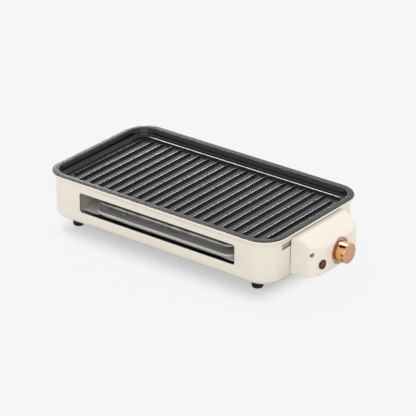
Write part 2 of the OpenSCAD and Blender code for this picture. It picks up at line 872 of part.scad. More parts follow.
// Thermostat: a block with a threaded bush through the recess's floor
module thermostat_body() {
    placed() color(ceramic_white) difference() {
        union() {
            block([block_x0, knob_y - block_half, knob_z - block_half],
                  [block_x1, knob_y + block_half, knob_z + block_up]);
            bar_x(block_x1, panel_floor_x + nut_t + 0.6, knob_y, knob_z, bush_r);
        }
        bar_x(block_x1 - 6.5, panel_floor_x + nut_t + 1, knob_y, knob_z, spindle_r + 0.05);
    }
}

// Hexagon nut that holds the thermostat's bush
module thermostat_nut() {
    placed() color(brass_yellow) difference() {
        translate([panel_floor_x, knob_y, knob_z]) rotate([0, 90, 0])
            cylinder(d = nut_d, h = nut_t, $fn = 6);
        bar_x(panel_floor_x - over, panel_floor_x + nut_t + over, knob_y, knob_z, bush_r + 0.02);
    }
}

// Capillary tube from the thermostat to the sensor bulb under the pan
module capillary() {
    placed() color(copper) wire([
        [block_x0 + 3, 0, knob_z + block_up], [block_x0 + 3, 0, bulb_z], [bulb_x1, 0, bulb_z]
    ], thin_wire_r);
}

// Sensor bulb, and the clip that holds it to the element's right bend
module sensor_bulb() {
    placed() color(copper) bar_x(bulb_x0, bulb_x1, 0, bulb_z, bulb_r);
}
module sensor_clip() {
    clip_x = right_bend_x + run_in;
    placed() color(bare_steel) difference() {
        union() {
            block([clip_x - 3, -1.5, tube_z + tube_d / 2 + 0.05], [clip_x + 3, 1.5, bulb_z]);
            bar_x(clip_x - 3, clip_x + 3, 0, bulb_z, bulb_r + 1.1);
        }
        bar_x(clip_x - 5, clip_x + 5, 0, bulb_z, bulb_r + 0.02);
    }
}

// Lamp: black bezel ring, red lens and the holder behind them
module lamp_bezel() {
    placed() color(black_plastic) at_lamp() difference() {
        union() {
            translate([0, 0, -bezel_sink])
                cylinder(r = bezel_d / 2, h = bezel_sink + bezel_out - bezel_bevel);
            translate([0, 0, bezel_out - bezel_bevel])
                cylinder(r1 = bezel_d / 2, r2 = bezel_d / 2 - bezel_bevel, h = bezel_bevel);
        }
        translate([0, 0, -bezel_sink - over]) cylinder(r = lens_d / 2 + 0.02, h = bezel_sink + 4);
    }
}
module lamp_lens() {
    placed() color(lens_red) at_lamp() union() {
        translate([0, 0, -5]) cylinder(r = lens_d / 2, h = 5 + lens_out / 2);
        translate([0, 0, lens_out / 2])
            cylinder(r1 = lens_d / 2 - 0.2, r2 = lens_d / 2 - 1.6, h = lens_out / 2);
    }
}
module lamp_body() {
    placed() color(black_plastic) at_lamp()
        translate([0, 0, -lamp_depth]) cylinder(r = lens_d / 2, h = lamp_depth - 5);
}

// Recessed power inlet in the control box's rear side, for a removable cord
module power_inlet() {
    placed() color(black_plastic) difference() {
        union() {
            block([inlet_x - 8.2, box_rear, inlet_z - 14], [inlet_x + 8.2, box_rear + 2, inlet_z + 14]);
            block([inlet_x - 7, box_rear - 18, inlet_z - 12], [inlet_x + 7, box_rear, inlet_z + 12]);
        }
        block([inlet_x - 5.5, box_rear - 16, inlet_z - 10.5],
              [inlet_x + 5.5, box_rear + 2 + over, inlet_z + 10.5]);
        for (side = [-1, 0, 1]) {
            translate([inlet_x, box_rear - 15, inlet_z + side * pin_gap]) rotate([90, 0, 0])
                cylinder(r = pin_r + 0.01, h = 5);
        }
    }
}
module inlet_pins() {
    placed() color(brass_yellow) for (side = [-1, 0, 1]) {
        translate([inlet_x, box_rear - 6, inlet_z + side * pin_gap]) rotate([90, 0, 0])
            cylinder(r = pin_r, h = 15);
    }
}

// Block with three clamps where the wires meet
module terminal_block() {
    placed() color(ceramic_white) difference() {
        block([terminal_x - terminal_half, terminal_y0, inner_floor],
              [terminal_x + terminal_half, terminal_y1, terminal_top]);
        for (i = [0 : 2]) {
            translate([terminal_x, terminal_y0 + 6 + i * clamp_gap, terminal_top - 10])
                cylinder(r = 2.4, h = 10 + over);
        }
    }
}

// Thermal fuse in the live wire
module thermal_fuse() {
    placed() color(bare_steel) translate([terminal_x, terminal_y1, inner_floor + 5]) rotate([-90, 0, 0])
        union() {
            cylinder(r = 0.6, h = 24);
            translate([0, 0, 6]) cylinder(r = 2, h = 12);
        }
}

// Wires inside the control box
module lead_live() {
    placed() color("#7A4B2A") translate([tab_x, -run_in, terminal_top])
        cylinder(r = wire_r, h = tube_z - 3 - terminal_top);
}
module lead_neutral() {
    low = inlet_z - pin_gap;
    placed() color("#2F5C9C") wire([
        [inlet_x, box_rear - 21, low], [inlet_x, run_in, low],
        [tab_x, run_in, low], [tab_x, run_in, tube_z - 3]
    ], wire_r);
}
module lead_lamp() {
    placed() color("#B23A34")
        bar_x(terminal_x + terminal_half, lamp_x - lamp_depth, lamp_y, lamp_z, thin_wire_r);
}
module lead_earth() {
    placed() color("#5F8F3A") wire([
        [inlet_x, box_rear - 21, inlet_z], [inlet_x, box_rear - 25, inlet_z],
        [plate_x1 + 8, earth_y, earth_z], [plate_x1 + 2, earth_y, earth_z]
    ], wire_r);
}
// Earth screw's head on the heater plate
module earth_screw() {
    placed() color(brass_yellow) bar_x(plate_x1, plate_x1 + 2, earth_y, earth_z, screw_head_r);
}

body_shell();
base_plate();
base_screws();
foot_front_left();
foot_front_right();
foot_rear_left();
foot_rear_right();
foot_screws();
grill_pan();
drip_tray();
rail_left();
rail_right();
liner_left();
liner_right();
liner_back();
end_brace();
heater_tube();
heater_spacer_left();
heater_spacer_right();
heater_hangers();
heater_plate();
heater_bushes();
heater_terminals();
control_housing();
housing_gasket();
housing_screws();
knob();
knob_face();
knob_hub();
thermostat_spindle();
thermostat_body();
thermostat_nut();
capillary();
sensor_bulb();
sensor_clip();
lamp_bezel();
lamp_lens();
lamp_body();
power_inlet();
inlet_pins();
terminal_block();
thermal_fuse();
lead_live();
lead_neutral();
lead_lamp();
lead_earth();
earth_screw();
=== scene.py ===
"""Looks of the electric indoor grill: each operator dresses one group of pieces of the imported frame.

Lengths inside the operators are in millimetres about the middle of the grill's body, with z up
from the table. place() turns them into metres in the frame.
"""

from math import acos, cos, degrees, pi, radians, sin, sqrt

import bmesh
import bpy
import numpy as np
from bpy.props import FloatProperty, FloatVectorProperty, IntProperty, PointerProperty
from mathutils import Matrix, Vector


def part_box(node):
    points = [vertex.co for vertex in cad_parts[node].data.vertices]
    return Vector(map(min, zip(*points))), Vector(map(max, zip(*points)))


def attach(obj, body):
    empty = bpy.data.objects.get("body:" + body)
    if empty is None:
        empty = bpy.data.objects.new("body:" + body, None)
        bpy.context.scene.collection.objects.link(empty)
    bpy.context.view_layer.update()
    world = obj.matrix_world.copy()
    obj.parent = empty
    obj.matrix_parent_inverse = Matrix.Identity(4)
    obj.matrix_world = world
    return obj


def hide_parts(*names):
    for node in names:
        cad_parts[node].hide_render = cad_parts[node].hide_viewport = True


bl_info = {
    "name": "Electric indoor grill",
    "version": (1, 0, 0),
    "blender": (4, 5, 0),
    "location": "3D View > Sidebar > Grill",
    "description": "Dresses the packed frame of an electric indoor grill",
    "category": "Object",
}

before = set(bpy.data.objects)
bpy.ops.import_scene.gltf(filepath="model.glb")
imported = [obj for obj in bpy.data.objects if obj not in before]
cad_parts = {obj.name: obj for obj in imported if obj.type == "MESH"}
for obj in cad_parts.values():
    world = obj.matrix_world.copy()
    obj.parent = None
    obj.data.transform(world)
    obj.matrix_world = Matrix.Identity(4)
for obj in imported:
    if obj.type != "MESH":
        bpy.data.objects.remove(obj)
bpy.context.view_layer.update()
MM = 0.001


def body_middle():
    """Middle of the grill's body in the frame, in metres."""
    low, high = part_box("grill_pan")
    return Vector(((low.x + high.x) / 2, (low.y + high.y) / 2, 0))


MIDDLE = body_middle()
PLACE = Matrix.Translation(MIDDLE) @ Matrix.Scale(MM, 4)


def cad_box(node):
    """Lowest and highest corner of a CAD node, in millimetres about the body's middle."""
    low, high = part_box(node)
    return (low - MIDDLE) / MM, (high - MIDDLE) / MM


# Numbers that the frame gives

RIM_HIGH = cad_box("grill_pan")[1]
SHELL_LOW, SHELL_HIGH = cad_box("body_shell")
HOUSING_LOW, HOUSING_HIGH = cad_box("control_housing")
KNOB_LOW, KNOB_HIGH = cad_box("knob")
TRAY_LOW, TRAY_HIGH = cad_box("drip_tray")
BOX_Y = (HOUSING_LOW.y + HOUSING_HIGH.y) / 2
KNOB_Y, KNOB_Z = (KNOB_LOW.y + KNOB_HIGH.y) / 2, (KNOB_LOW.z + KNOB_HIGH.z) / 2

# Places that it doesn't give, in millimetres about the body's middle

# Low and high corner of the front window as (x, z), and of the end wall's slot and of the opening
# behind the control box as (y, z)
WINDOW = ((-145.5, 37.8), (148.5, 70.2))
WALL_SLOT = ((-82, 67.5), (-50, 76.5))
BOX_OPENING = ((-44, 42), (44, 68))
# How far below the lip's top its flare starts
FLARE_DROP = 12.15
# The lamp's middle, the control box's screws out from its middle, and the middles of the feet
LAMP_Y, LAMP_Z = -36.6, 39.9
SCREW_OFF, SCREW_Z = 54.0, 59.0
FOOT_X, FOOT_Y = 171.0, 87.5
# The signs of x and y in the body's four quarters
QUARTERS = ((-1, -1), (-1, 1), (1, -1), (1, 1))


# Colours and nodes

def linear(hex_colour):
    """Linear colour of an sRGB hex value such as #EDE3D3."""
    parts = [int(hex_colour[i:i + 2], 16) / 255 for i in (1, 3, 5)]
    return [c / 12.92 if c <= 0.04045 else ((c + 0.055) / 1.055) ** 2.4 for c in parts]


def shade(colour, factor):
    """A colour made lighter or darker by a factor."""
    return [min(1.0, c * factor) for c in list(colour)[:3]]


def rgba(colour):
    """The same colour with full alpha."""
    return (*list(colour)[:3], 1.0)


def per(millimetres):
    """Pattern scale for a feature of that size, for coordinates in metres."""
    return 1 / (millimetres * MM)


def connect(tree, node, links):
    """Feeds a node's sockets from other sockets, or from the first output of other nodes."""
    for name, source in links.items():
        output = source if isinstance(source, bpy.types.NodeSocket) else source.outputs[0]
        tree.links.new(output, node.inputs[name])


def add(tree, kind, settings=None, links=None):
    """Adds a shader node; settings sets its fields, sockets and ramp stops, links feeds it."""
    node = tree.nodes.new("ShaderNode" + kind)
    for name, value in (settings or {}).items():
        if name == "stops":
            for stop, (position, tone) in zip(node.color_ramp.elements, value):
                stop.position = position
                stop.color = rgba(tone)
        elif isinstance(name, str) and hasattr(node, name):
            setattr(node, name, value)
        else:
            node.inputs[name].default_value = value
    connect(tree, node, links or {})
    return node


def new_material(name, settings):
    """A material with one Principled shader; returns it with its tree, shader and coordinates."""
    material = bpy.data.materials.new(name)
    material.use_nodes = True
    tree = material.node_tree
    shader = tree.nodes["Principled BSDF"]
    for socket, value in settings.items():
        shader.inputs[socket].default_value = value
    where = add(tree, "TexCoord").outputs["Object"]
    return material, tree, shader, where


def vary(tree, shader, pattern, tones=None, gloss=None, relief=0.0):
    """Lets a pattern vary a surface's colour, its roughness and its height.

    tones and gloss each give two steps: a level of the pattern, and the colour or the roughness
    there. relief is the full height in millimetres.
    """
    if tones:
        colours = add(tree, "ValToRGB", {"stops": tones}, {"Fac": pattern})
        connect(tree, shader, {"Base Color": colours})
    if gloss:
        (low, smooth), (high, rough) = gloss
        levels = add(tree, "MapRange", {
            "From Min": low, "From Max": high, "To Min": smooth, "To Max": rough}, {"Value": pattern})
        connect(tree, shader, {"Roughness": levels})
    if relief:
        swell = add(tree, "Bump", {"Distance": relief * MM, "Strength": 1.0},
                    {"Height": pattern})
        connect(tree, shader, {"Normal": swell})


# Meshes

# Points that lie closer than this, in millimetres, are one point
SAME_POINT = 0.002


def arc(cx, cy, r, start, end, steps):
    """Points on an arc, angles in degrees."""
    turns = [radians(start + (end - start) * i / steps) for i in range(steps + 1)]
    return [(cx + r * cos(t), cy + r * sin(t)) for t in turns]


def fillet(points, steps, closed=True):
    """Rounds the corners of an outline; each point is (x, y, radius)."""
    out = []
    count = len(points)
    for i, (x, y, r) in enumerate(points):
        here = Vector((x, y))
        at_end = not closed and i in (0, count - 1)
        if r <= 0 or at_end:
            out.append((x, y))
            continue
        before = (Vector(points[i - 1][:2]) - here).normalized()
        after = (Vector(points[(i + 1) % count][:2]) - here).normalized()
        half = acos(max(-1, min(1, before.dot(after)))) / 2
        back = r / max(1e-6, abs(sin(half) / cos(half)))
        centre = here + (before + after).normalized() * (r / sin(half))
        p = here + before * back - centre
        sweep = (pi - 2 * half) * (1 if p.x * (here - centre).y - p.y * (here - centre).x > 0 else -1)
        for k in range(steps + 1):
            t = sweep * k / steps
            out.append((centre.x + p.x * cos(t) - p.y * sin(t),
                        centre.y + p.x * sin(t) + p.y * cos(t)))
    return out


def skin(bm, loops, closed):
    """Faces from each loop of points to the next one, and from the last one to the first."""
    count = len(loops[0])
    for a, b in zip(loops, loops[1:] + loops[:1]):
        for i in range(count if closed else count - 1):
            j = (i + 1) % count
            bm.faces.new((a[i], b[i], b[j], a[j]))


def ring(bm, section, half_x, half_y, r, steps, closed=True):
    """Sweeps a section of (outwards, height) points round a rectangle with round corners."""
    loops = []
    for corner in range(4):
        cx = (half_x - r) * (1, -1, -1, 1)[corner]
        cy = (half_y - r) * (1, 1, -1, -1)[corner]
        for i in range(steps + 1):
            turn = radians(90 * (corner + i / steps))
            loops.append([bm.verts.new((cx + (r + out) * cos(turn), cy + (r + out) * sin(turn), z))
                          for out, z in section])
    skin(bm, loops, closed)
    return loops


def cap(bm, loops):
    """Closes the first and the last row of points of a ring."""
    bm.faces.new([loop[0] for loop in loops])
    bm.faces.new([loop[-1] for loop in loops])
    clean(bm)


def ridge(bm, section, half_x, half_y, r, steps, move):
    """A long low ridge that is closed below, moved to its place."""
    loops = ring(bm, section, half_x, half_y, r, steps, closed=False)
    bmesh.ops.translate(bm, vec=move, verts=[v for loop in loops for v in loop])
    bm.faces.new([loop[0] for loop in loops])


def lathe(section, steps, matrix=None, closed=False):
    """A bmesh of a section of (radius, height) points turned about the z axis, then moved."""
    bm = bmesh.new()
    loops = []
    for i in range(steps):
        turn = 2 * pi * i / steps
        loops.append([bm.verts.new((r * cos(turn), r * sin(turn), z)) for r, z in section])
    skin(bm, loops, closed)
    if matrix:
        bmesh.ops.transform(bm, matrix=matrix, verts=bm.verts)
    return bm


def prism(bm, outline, low, high, matrix=None):
    """A solid with that outline between two heights."""
    bottom = [bm.verts.new((x, y, low)) for x, y in outline]
    top = [bm.verts.new((x, y, high)) for x, y in outline]
    bm.faces.new(list(reversed(bottom)))
    bm.faces.new(top)
    for i in range(len(outline)):
        j = (i + 1) % len(outline)
        bm.faces.new((bottom[i], bottom[j], top[j], top[i]))
    if matrix:
        bmesh.ops.transform(bm, matrix=matrix, verts=bottom + top)


def box(bm, low, high):
    """A block between two corners."""
    prism(bm, [(low[0], low[1]), (high[0], low[1]), (high[0], high[1]), (low[0], high[1])],
          low[2], high[2])


def tube(bm, points, radius, steps):
    """A round tube with closed ends through a row of points."""
    spots = [Vector(p) for p in points]
    ahead = [(b - a).normalized() for a, b in zip(spots, spots[1:])]
    ways = [ahead[0]] + [(a + b).normalized() for a, b in zip(ahead, ahead[1:])] + [ahead[-1]]
    side = ways[0].orthogonal().normalized()
    loops = []
    for spot, way in zip(spots, ways):
        side = (side - way * side.dot(way)).normalized()
        other = way.cross(side)
        loops.append([bm.verts.new(spot + (side * cos(2 * pi * k / steps)
                                           + other * sin(2 * pi * k / steps)) * radius)
                      for k in range(steps)])
    for a, b in zip(loops, loops[1:]):
        for k in range(steps):
            bm.faces.new((a[k], a[(k + 1) % steps], b[(k + 1) % steps], b[k]))
    bm.faces.new(list(reversed(loops[0])))
    bm.faces.new(loops[-1])


def clean(bm):
    """Merges points that coincide and makes the faces look outwards."""
    bmesh.ops.remove_doubles(bm, verts=bm.verts, dist=SAME_POINT)
    bmesh.ops.dissolve_degenerate(bm, edges=bm.edges, dist=SAME_POINT)
    bmesh.ops.recalc_face_normals(bm, faces=bm.faces)


def as_object(bm):
    """A scratch object from a bmesh, still in millimetres."""
    clean(bm)
    mesh = bpy.data.meshes.new("scratch")
    bm.to_mesh(mesh)
    bm.free()
    scratch = bpy.data.objects.new("scratch", mesh)
    bpy.context.scene.collection.objects.link(scratch)
    return scratch


def carve(bm, cutter):
    """Takes the cutter away from a bmesh and returns the new bmesh."""
    target, tool = as_object(bm), as_object(cutter)
    change = target.modifiers.new("carve", "BOOLEAN")
    change.operation = "DIFFERENCE"
    change.solver = "EXACT"
    change.object = tool
    seen = target.evaluated_get(bpy.context.evaluated_depsgraph_get())
    out = bmesh.new()
    out.from_mesh(seen.to_mesh())
    seen.to_mesh_clear()
    for scratch in (target, tool):
        mesh = scratch.data
        bpy.data.objects.remove(scratch)
        bpy.data.meshes.remove(mesh)
    if not out.faces:
        raise RuntimeError("a cut left nothing of a piece")
    return out


def soften(bm, width, angle=40):
    """Rounds the edges that are sharper than the angle."""
    bmesh.ops.dissolve_limit(bm, angle_limit=radians(0.5), verts=bm.verts, edges=bm.edges)
    edges = [e for e in bm.edges
             if len(e.link_faces) == 2 and e.calc_face_angle(0) > radians(angle)]
    bmesh.ops.bevel(bm, geom=edges, offset=width, segments=2, profile=0.5,
                    affect="EDGES", clamp_overlap=True)


def place(name, bm, stuff, body, nodes=(), smooth=32, normals=None):
    """Makes a piece of a bmesh: in the frame, with its finish, riding on its body."""
    if normals is None:
        clean(bm)
    bmesh.ops.transform(bm, matrix=PLACE, verts=bm.verts)
    mesh = bpy.data.meshes.new(name)
    bm.to_mesh(mesh)
    bm.free()
    mesh.shade_smooth()
    if normals is None:
        mesh.set_sharp_from_angle(angle=radians(smooth))
    else:
        mesh.normals_split_custom_set_from_vertices(normals)
    mesh.materials.append(finish(stuff))
    piece = bpy.data.objects.new(name, mesh)
    bpy.context.scene.collection.objects.link(piece)
    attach(piece, body)
    if nodes:
        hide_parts(*nodes)
    return piece


def from_node(node):
    """A bmesh of a CAD node's solid, in millimetres, with flat faces whole again."""
    bm = bmesh.new()
    bm.from_mesh(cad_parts[node].data)
    bmesh.ops.transform(bm, matrix=PLACE.inverted(), verts=bm.verts)
    bmesh.ops.remove_doubles(bm, verts=bm.verts, dist=SAME_POINT)
    bmesh.ops.dissolve_limit(bm, angle_limit=radians(1), verts=bm.verts, edges=bm.edges)
    return bm


def along_x(x, y, z):
    """Matrix that lays a piece made along z out along +X, from a point."""
    return Matrix.Translation((x, y, z)) @ Matrix.Rotation(pi / 2, 4, "Y")


# Sizes and finishes that a user would change

def length(name, description, millimetres):
    """A length property whose default is given in millimetres."""
    return FloatProperty(name=name, description=description, default=millimetres * MM,
                         min=0.0, subtype="DISTANCE", unit="LENGTH", precision=5)


def colour(name, description, hex_colour):
    """A colour property whose default is an sRGB hex value."""
    return FloatVectorProperty(name=name, description=description, default=linear(hex_colour),
                               size=3, min=0.0, max=1.0, subtype="COLOR")


class GrillSizes(bpy.types.PropertyGroup):
    """Sizes of the pieces that this file makes."""

    sheet: length("Shell sheet", "Thickness of the body's steel sheet", 1.2)
    wall_inset: length("Wall inset", "How far the wall stands back from the pan's rim", 4.7)
    flare: length("Flare radius", "Radius of the flare under the lip", 12)
    lower_bend: length("Lower bend", "Radius of the bend under the wall", 8)
    liner_sheet: length("Liner sheet", "Thickness of the liners' sheet", 0.8)
    window_corner: length("Window corner", "Corner radius of the front window", 4.5)
    pan_corner: length("Pan corner", "Outer corner radius of the pan's rim", 38.6)
    pan_flange: length("Pan flange", "Width of the pan's flat rim", 10.1)
    pan_depth: length("Pan depth", "Depth from the rim to the pan's floor", 13)
    pan_metal: length("Pan metal", "Thickness of the pan's cast metal", 2.6)
    rib_count: IntProperty(name="Ribs", description="Number of raised ribs", default=21, min=3)
    rib_pitch: length("Rib pitch", "Distance from one rib to the next", 18.25)
    rib_width: length("Rib width", "Width of a rib at its foot", 3.2)
    rib_height: length("Rib height", "Height of a rib above the floor", 3.2)
    rib_length: length("Rib length", "Length of a rib", 180)
    end_rib_length: length("End rib length", "Length of the first and the last rib", 162)
    tray_corner: length("Tray corner", "Corner radius of the drip tray's rim", 21)
    tube: length("Element", "Diameter of the sheathed element", 6.6)
    panel_flat: length("Panel flat", "Width of the control panel's flat middle", 54)
    panel_curve: length("Panel curve", "Radius of the curve at both ends of the panel", 60)
    box_corner: length("Box corner", "Radius of the control box's upright corners", 2.4)
    box_crease: length("Box crease", "Radius of the crease round the sloping face", 1.6)
    box_edge: length("Box edge", "Radius of the control box's other edges", 1.6)
    recess: length("Knob recess", "Diameter of the recess behind the knob", 40.6)
    recess_depth: length("Recess depth", "Depth of the recess behind the knob", 5.4)
    lens: length("Lamp lens", "Diameter of the lamp's lens", 12.4)


class GrillFinishes(bpy.types.PropertyGroup):
    """Colours of the finishes."""

    body_paint: colour("Body paint", "Cream stoved paint of the steel body", "#EAE3D3")
    box_plastic: colour("Box plastic", "Cream moulding of the control box", "#EEE7D9")
    coating: colour("Coating", "Charcoal non-stick coating of the pan", "#121213")
    steel: colour("Bare steel", "Bare bright steel sheet", "#E2E1DC")
    liner: colour("Liner steel", "Duller steel sheet of the liners and the brace", "#C2BEB2")
    zinc: colour("Zinc", "Zinc-coated steel sheet", "#AEB1B3")
    sheath: colour("Sheath", "Heat-tinted sheath of the element", "#BDBBB5")
    copper: colour("Copper plating", "Polished copper-coloured plating", "#EFB07A")
    copper_face: colour("Spun copper", "Spun copper-coloured disc", "#D6A887")
    lens_red: colour("Lens", "Dark red lens of the lamp", "#7C0D1C")
    rubber: colour("Rubber", "Black rubber", "#121213")
    black_plastic: colour("Black plastic", "Black moulding", "#161617")


def size(name):
    """A size property in millimetres."""
    return getattr(bpy.context.scene.grill_sizes, name) / MM


def tint(name):
    """A colour property by its name, or an sRGB hex value, as a linear colour."""
    if name.startswith("#"):
        return linear(name)
    return list(getattr(bpy.context.scene.grill_finishes, name))


def wall_faces():
    """How far the body's outer wall stands from the middle, along x and along y."""
    return RIM_HIGH.x - size("wall_inset"), RIM_HIGH.y - size("wall_inset")


# Finishes

FINISHES = {}


def finish(name):
    """A finish by name; it is made when it is first asked for."""
    if name not in FINISHES:
        maker, *values = MAKERS[name]
        FINISHES[name] = maker(*values)
    return FINISHES[name]


def clouded(name, colour_name, settings, cloud, tones, grain=None):
    """A stuff with soft clouds in its colour and a fine relief.

    cloud gives the clouds' size in millimetres and their detail, tones two levels of that pattern
    with how bright the colour is there, and grain its size, its detail and its full height.
    """
    base = tint(colour_name)
    material, tree, shader, where = new_material(name, settings)
    across, detail = cloud
    clouds = add(tree, "TexNoise", {"Scale": per(across), "Detail": detail}, {"Vector": where})
    vary(tree, shader, clouds, tones=[(level, shade(base, factor)) for level, factor in tones])
    if grain:
        across, detail, height = grain
        relief = add(tree, "TexNoise", {"Scale": per(across), "Detail": detail}, {"Vector": where})
        vary(tree, shader, relief, relief=height)
    return material


def nonstick():
    """Sprayed PTFE on cast aluminium: charcoal with pale mineral flecks and a soft sheen."""
    base = tint("coating")
    material, tree, shader, where = new_material("ptfe_coating_charcoal", {
        "Roughness": 0.2, "IOR": 1.5, "Specular IOR Level": 0.46})
    # Flecks are under 0.3 mm on a real pan; 1 mm here, so that they show at all
    fleck = add(tree, "TexNoise", {"Scale": per(1.0), "Detail": 4.0, "Roughness": 0.7},
                {"Vector": where})
    flecked = add(tree, "ValToRGB", {
        "stops": ((0.34, shade(base, 0.72)), (0.7, shade(base, 1.5)))}, {"Fac": fleck})
    # Painted shade: the upright walls are darkened to a quarter of the coat's tone by their facing
    # alone, so they look deeper in tone than the floor
    facing = add(tree, "TexCoord").outputs["Normal"]
    up = add(tree, "SeparateXYZ", links={"Vector": facing}).outputs["Z"]
    deep = add(tree, "ValToRGB", {
        "stops": ((0.3, (0.25, 0.25, 0.25)), (0.8, (1, 1, 1)))}, {"Fac": up})
    top = add(tree, "Mix", {"data_type": "RGBA", "blend_type": "MULTIPLY", 0: 1.0},
              {6: flecked, 7: deep})
    # Faces that look down have only the thin grey base coat
    below = add(tree, "Math", {"operation": "LESS_THAN", 1: -0.5}, {0: up})
    coat = add(tree, "Mix", {"data_type": "RGBA", 7: rgba(linear("#8E8F90"))},
               {0: below, 6: top.outputs[2]})
    connect(tree, shader, {"Base Color": coat.outputs[2]})
    # Spray texture of the coating, about 0.9 mm
    spray = add(tree, "TexNoise", {"Scale": per(0.9), "Detail": 2.0}, {"Vector": where})
    vary(tree, shader, spray, relief=0.0014)
    return material


def rolled_steel(name, colour_name, darkest, roughness):
    """Aluminised steel sheet: a soft silvery white bloom with fine rolling lines along one way."""
    base = tint(colour_name)
    # The bloom of the rough aluminium coat scatters part of the light, so it isn't all metal gloss
    material, tree, shader, where = new_material(name, {"Metallic": 0.15})
    # Rolling lines: 0.5 mm apart and 60 mm long
    lie = add(tree, "Mapping", {"Scale": (per(60), per(0.5), per(0.5))}, {"Vector": where})
    lines = add(tree, "TexNoise", {"Scale": 1.0, "Detail": 3.0}, {"Vector": lie})
    vary(tree, shader, lines, tones=((0.35, shade(base, darkest)), (0.65, shade(base, 1.1))),
         gloss=((0.3, roughness - 0.08), (0.7, roughness + 0.12)), relief=0.004)
    return material


def zinc_sheet():
    """Hot-dip zinc coat: dull grey sheet with a patchwork of crystals about 12 mm across."""
    base = tint("zinc")
    material, tree, shader, where = new_material("zinc_coated_steel", {"Metallic": 1.0})
    flower = add(tree, "TexVoronoi", {"Scale": per(12)}, {"Vector": where})
    crystal = add(tree, "SeparateColor", links={"Color": flower.outputs["Color"]})
    vary(tree, shader, crystal.outputs["Red"], tones=((0.0, shade(base, 0.8)), (1.0, shade(base, 1.1))))
    vary(tree, shader, crystal.outputs["Green"], gloss=((0.0, 0.38), (1.0, 0.58)))
    return material


def sheath_steel():
    """Heat-tinted nickel steel sheath: brown-grey, with straw and blue clouds from the heat."""
    material, tree, shader, where = new_material("heat_tinted_steel", {
        "Metallic": 1.0, "Roughness": 0.42})
    heat = add(tree, "TexNoise", {"Scale": per(18), "Detail": 4.0}, {"Vector": where})
    vary(tree, shader, heat, tones=((0.35, linear("#9A9288")), (0.65, shade(tint("sheath"), 1.05))))
    # Scale from the heat, in flakes of 0.8 mm
    flakes = add(tree, "TexNoise", {"Scale": per(0.8), "Detail": 3.0}, {"Vector": where})
    vary(tree, shader, flakes, relief=0.03)
    return material


def copper_plating():
    """Polished copper-coloured plating: a near mirror with a faint haze."""
    material, tree, shader, where = new_material("copper_plating_polished", {
        "Base Color": rgba(tint("copper")), "Metallic": 1.0})
    haze = add(tree, "TexNoise", {"Scale": per(4), "Detail": 3.0}, {"Vector": where})
    vary(tree, shader, haze, gloss=((0.3, 0.07), (0.7, 0.16)))
    return material


def spun_copper():
    """Copper-coloured disc, spun: rings about 0.5 mm apart that spread its gloss."""
    base = tint("copper_face")
    material, tree, shader, where = new_material("spun_copper_disc", {"Metallic": 1.0})
    # The rings run about the knob's axis, so the pattern starts from that axis and stays on it
    centre = PLACE @ Vector((0, KNOB_Y, KNOB_Z))
    for operation, by in (("SUBTRACT", centre), ("MULTIPLY", (0.0, 1.0, 1.0)), ("LENGTH", (0, 0, 0))):
        where = add(tree, "VectorMath", {"operation": operation, 1: by}, {0: where})
    rings = add(tree, "Math", {"operation": "MULTIPLY", 1: per(0.5)},
                {0: where.outputs["Value"]})
    lines = add(tree, "TexNoise", {"noise_dimensions": "1D", "Scale": 1.0, "Detail": 2.0},
                {"W": rings})
    vary(tree, shader, lines, tones=((0.3, shade(base, 0.86)), (0.7, shade(base, 1.08))),
         gloss=((0.3, 0.34), (0.7, 0.5)), relief=0.01)
    return material


def plain_moulding(name, colour_name, roughness, ior, grain_size, height):
    """A moulded or cast stuff of one colour: slight clouding and a fine matt grain."""
    return clouded(name, colour_name, {"Roughness": roughness, "IOR": ior}, (9, 3.0),
                   ((0.3, 0.85), (0.7, 1.12)), (grain_size, 2.0, height))


def plain_metal(name, colour_name, roughness):
    """A small metal part: slight tarnish clouds, 6 mm across, in its colour and gloss."""
    base = tint(colour_name)
    material, tree, shader, where = new_material(name, {"Metallic": 1.0})
    cloud = add(tree, "TexNoise", {"Scale": per(6), "Detail": 4.0}, {"Vector": where})
    vary(tree, shader, cloud, tones=((0.3, shade(base, 0.85)), (0.7, base)),
         gloss=((0.3, roughness - 0.06), (0.7, roughness + 0.1)))
    return material


